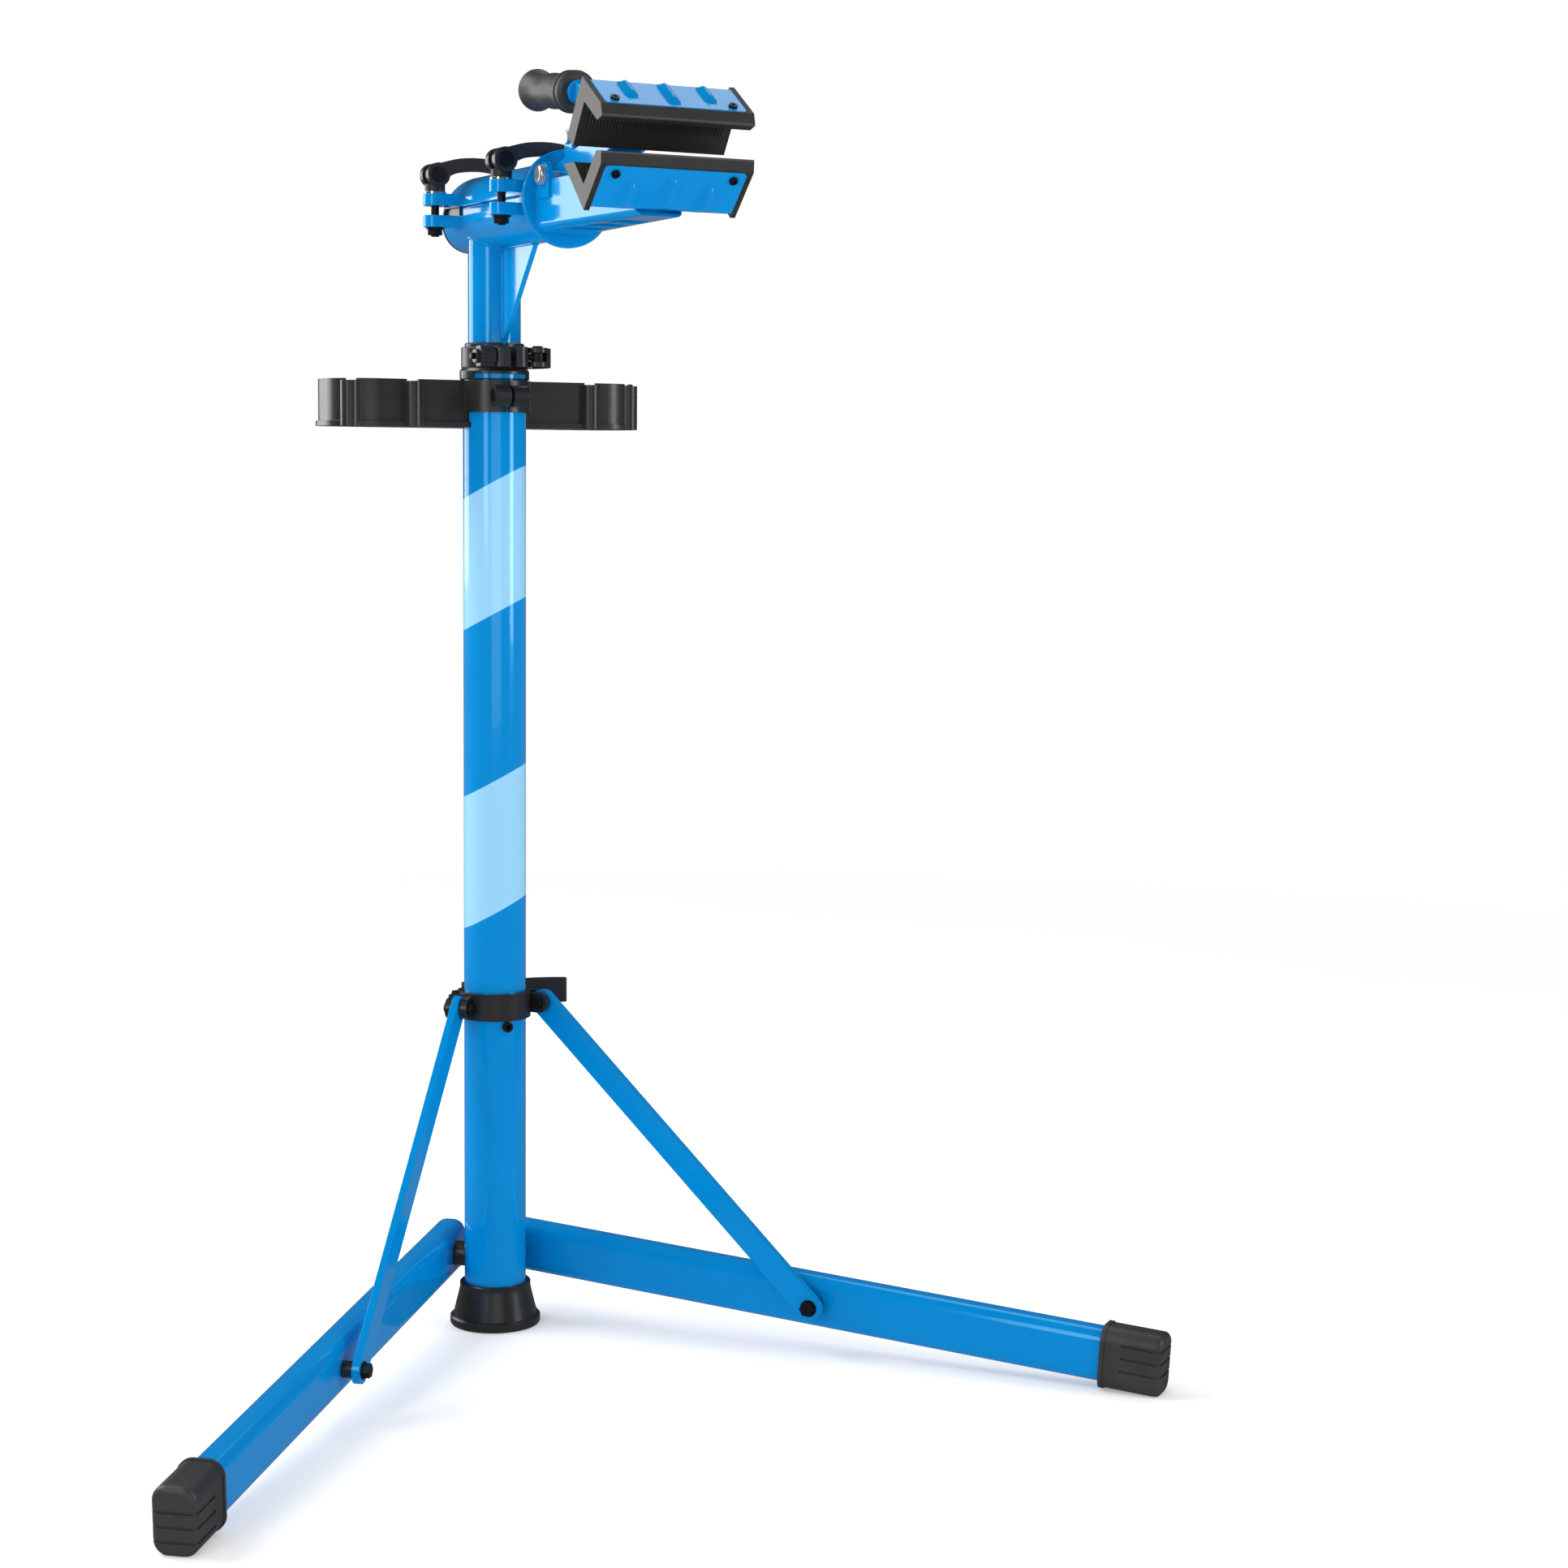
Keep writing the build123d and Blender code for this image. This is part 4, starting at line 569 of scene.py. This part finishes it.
def make_jaw_plate(name, node, body, apex, axis_t, axis_up, reach):
    """Bent plate with soft pressed ribs, rounded corners and a smooth-shaded chamfer at the bend."""
    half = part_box(node)[1][0]
    diagonal = math.sqrt(0.5)
    bm = bmesh.new()
    sheets = []
    for depth in (0.0, PLATE_THICK):
        rows = []
        for limb in (-1, 1):
            steps = range(PLATE_ROWS, 0, -1) if limb < 0 else range(1, PLATE_ROWS + 1)
            for step in steps:
                along = BEND_RADIUS + (reach - BEND_RADIUS) * (step - 1) / (PLATE_ROWS - 1)
                edge = reach - along
                trim = 0.0
                if edge < PLATE_CORNER:
                    trim = PLATE_CORNER - math.sqrt(PLATE_CORNER**2 - (PLATE_CORNER - edge) ** 2)
                width = half - trim
                row = []
                for column in range(PLATE_COLUMNS + 1):
                    x = -width + 2 * width * column / PLATE_COLUMNS
                    out = rib_height(x, along) - depth
                    t = limb * (along * diagonal) + limb * out * diagonal
                    z = along * diagonal - out * diagonal
                    point = apex + axis_t * t + axis_up * z
                    row.append(bm.verts.new((x, point.y, point.z)))
                rows.append(row)
        sheets.append(rows)
    outer, inner = sheets
    for rows, flip in ((outer, False), (inner, True)):
        for row, following in zip(rows, rows[1:]):
            for column in range(PLATE_COLUMNS):
                quad = (row[column], row[column + 1], following[column + 1], following[column])
                bm.faces.new(tuple(reversed(quad)) if flip else quad)
    for first, second in zip(range(len(outer) - 1), range(1, len(outer))):
        for column in (0, PLATE_COLUMNS):
            bm.faces.new((
                outer[first][column],
                outer[second][column],
                inner[second][column],
                inner[first][column],
            ))
    for row in (0, len(outer) - 1):
        for column in range(PLATE_COLUMNS):
            bm.faces.new((
                outer[row][column],
                outer[row][column + 1],
                inner[row][column + 1],
                inner[row][column],
            ))
    add_piece(name, bm, paint, body, stands_for=(node,), levels=0)


UPPER_APEX_FROM_PIN = (0.181, 0.030)
LOWER_REACH = 0.0481
UPPER_REACH = 0.0438


def make_jaw_plates():
    """Both bent plates, placed from the lower plate's box and the jaw's own pivot."""
    low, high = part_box("lower_jaw_plate")
    lower_apex = Vector((0.0, (low[1] + high[1]) / 2, low[2]))
    forward = Vector((0.0, -1.0, 0.0))
    upward = Vector((0.0, 0.0, 1.0))
    make_jaw_plate(
        "lower_plate", "lower_jaw_plate", "clamp_arm", lower_apex, forward, upward, LOWER_REACH
    )
    pin = joint_at("jaw_swing")
    tilted_forward = forward * math.cos(JAW_OPEN) + upward * math.sin(JAW_OPEN)
    tilted_up = upward * math.cos(JAW_OPEN) - forward * math.sin(JAW_OPEN)
    run, rise = UPPER_APEX_FROM_PIN
    upper_apex = pin + tilted_forward * run + tilted_up * rise
    make_jaw_plate(
        "upper_plate",
        "upper_jaw_plate",
        "upper_jaw",
        upper_apex,
        tilted_forward,
        -tilted_up,
        UPPER_REACH,
    )


make_jaw_plates()

# ------------------------------------------------------------------ stage

FLOOR_HALF = 40.0
FLOOR_DROP = 0.0005
FADE_NEAR = 1.2
FADE_FAR = 3.4
CAMERA_AT = (-1.07145, -2.64354, 0.83863)
CAMERA_YAW = 27.68
CAMERA_PITCH = 6.12
CAMERA_ROLL = 0.55
CAMERA_FOCAL = 67.9
SENSOR_WIDTH = 36.0
SURROUND_LIGHT = 0.56
SURROUND_MIRRORED = 0.05
FLOOR_MIRRORED = 0.16
FLOOR_GREY = (0.78, 0.78, 0.79, 1.0)
FLOOR_GREY_LIGHT = (0.80, 0.80, 0.805, 1.0)
FLOOR_GLOW = 0.30
FLOOR_MOTTLE_SCALE = 3.0


def floor_material():
    """Pale matt floor that fades to the white surroundings away from the stand."""
    nodes = Nodes("studio_floor")
    mottle = nodes.noise(FLOOR_MOTTLE_SCALE, detail=2.0)
    colour = nodes.mix(nodes.remap(mottle, 0.0, 1.0), FLOOR_GREY, FLOOR_GREY_LIGHT)
    nodes.set(Base_Color=colour, Roughness=0.85)
    nodes.set(Emission_Color=(1.0, 1.0, 1.0, 1.0), Emission_Strength=FLOOR_GLOW)
    distance = nodes.add("ShaderNodeVectorMath", operation="LENGTH")
    nodes.join(nodes.coords, distance.inputs[0])
    fade = nodes.remap(distance.outputs["Value"], 0.0, 1.0, FADE_NEAR, FADE_FAR)
    glow = nodes.add("ShaderNodeEmission")
    mirrored = nodes.add("ShaderNodeEmission", Strength=FLOOR_MIRRORED)
    path = nodes.add("ShaderNodeLightPath")
    blend = nodes.add("ShaderNodeMixShader")
    nodes.join(fade, blend.inputs[0])
    nodes.join(nodes.shader.outputs[0], blend.inputs[1])
    nodes.join(glow.outputs[0], blend.inputs[2])
    seen = nodes.add("ShaderNodeMixShader")
    nodes.join(path.outputs["Is Glossy Ray"], seen.inputs[0])
    nodes.join(blend.outputs[0], seen.inputs[1])
    nodes.join(mirrored.outputs[0], seen.inputs[2])
    output = nodes.tree.nodes["Material Output"]
    nodes.join(seen.outputs[0], output.inputs["Surface"])
    return nodes.material


def set_stage():
    """Pale floor in white surroundings that light the stand softly."""
    mesh = bpy.data.meshes.new("floor")
    edge = FLOOR_HALF
    corners = [(-edge, -edge), (edge, -edge), (edge, edge), (-edge, edge)]
    mesh.from_pydata([(x, y, -FLOOR_DROP) for x, y in corners], [], [(0, 1, 2, 3)])
    mesh.materials.append(floor_material())
    floor = bpy.data.objects.new("floor", mesh)
    bpy.context.collection.objects.link(floor)
    world = bpy.data.worlds.new("studio")
    world.use_nodes = True
    tree = world.node_tree
    background = tree.nodes["Background"]
    background.inputs["Color"].default_value = (1.0, 1.0, 1.0, 1.0)
    path = tree.nodes.new("ShaderNodeLightPath")
    level = SURROUND_LIGHT
    for ray, strength in (("Is Glossy Ray", SURROUND_MIRRORED), ("Is Camera Ray", 1.0)):
        choose = tree.nodes.new("ShaderNodeMapRange")
        choose.inputs["To Max"].default_value = strength
        if isinstance(level, float):
            choose.inputs["To Min"].default_value = level
        else:
            tree.links.new(level, choose.inputs["To Min"])
        tree.links.new(path.outputs[ray], choose.inputs["Value"])
        level = choose.outputs["Result"]
    tree.links.new(level, background.inputs["Strength"])
    bpy.context.scene.world = world


def area_light(name, at, target, size, power):
    """Rectangular soft light aimed at a point."""
    data = bpy.data.lights.new(name, "AREA")
    data.shape = "RECTANGLE"
    data.size, data.size_y = size
    data.energy = power
    light = bpy.data.objects.new(name, data)
    light.location = at
    aim = Vector(target) - Vector(at)
    light.rotation_euler = aim.to_track_quat("-Z", "Y").to_euler()
    bpy.context.collection.objects.link(light)


def set_camera():
    """Camera at the height, distance and turn that give the same view of the mast, feet and jaws."""
    yaw = math.radians(CAMERA_YAW)
    pitch = math.radians(CAMERA_PITCH)
    roll = math.radians(CAMERA_ROLL)
    forward = Vector(
        (math.sin(yaw) * math.cos(pitch), math.cos(yaw) * math.cos(pitch), -math.sin(pitch))
    )
    right = Vector((math.cos(yaw), -math.sin(yaw), 0.0))
    up = right.cross(forward)
    rolled_right = right * math.cos(roll) + up * math.sin(roll)
    rolled_up = up * math.cos(roll) - right * math.sin(roll)
    data = bpy.data.cameras.new("camera")
    data.sensor_width = SENSOR_WIDTH
    data.lens = CAMERA_FOCAL
    data.clip_end = 200.0
    camera = bpy.data.objects.new("camera", data)
    turn = Matrix((rolled_right, rolled_up, -forward)).transposed().to_4x4()
    camera.matrix_world = Matrix.Translation(CAMERA_AT) @ turn
    bpy.context.collection.objects.link(camera)
    bpy.context.scene.camera = camera


set_stage()
area_light("key", (-2.4, 1.4, 3.0), (0.0, -0.2, 0.4), (2.2, 2.2), 84.0)
area_light("front_left", (-3.0, -2.2, 1.8), (0.0, -0.1, 0.7), (1.0, 2.4), 27.0)
area_light("front_right", (2.6, -2.6, 1.6), (0.0, -0.1, 0.7), (0.8, 2.4), 42.0)
area_light("top_right", (1.3, 1.0, 3.5), (0.0, -0.3, 1.0), (1.8, 1.8), 16.0)
area_light("rear_left", (-1.6, 2.5, 1.35), (0.0, -0.2, 1.0), (1.9, 1.5), 32.0)
area_light("low_front", (-0.9, -3.0, 0.7), (0.1, -0.2, 0.15), (1.8, 0.8), 6.0)
set_camera()
bpy.context.scene.view_settings.view_transform = "Standard"

bpy.context.view_layer.update()
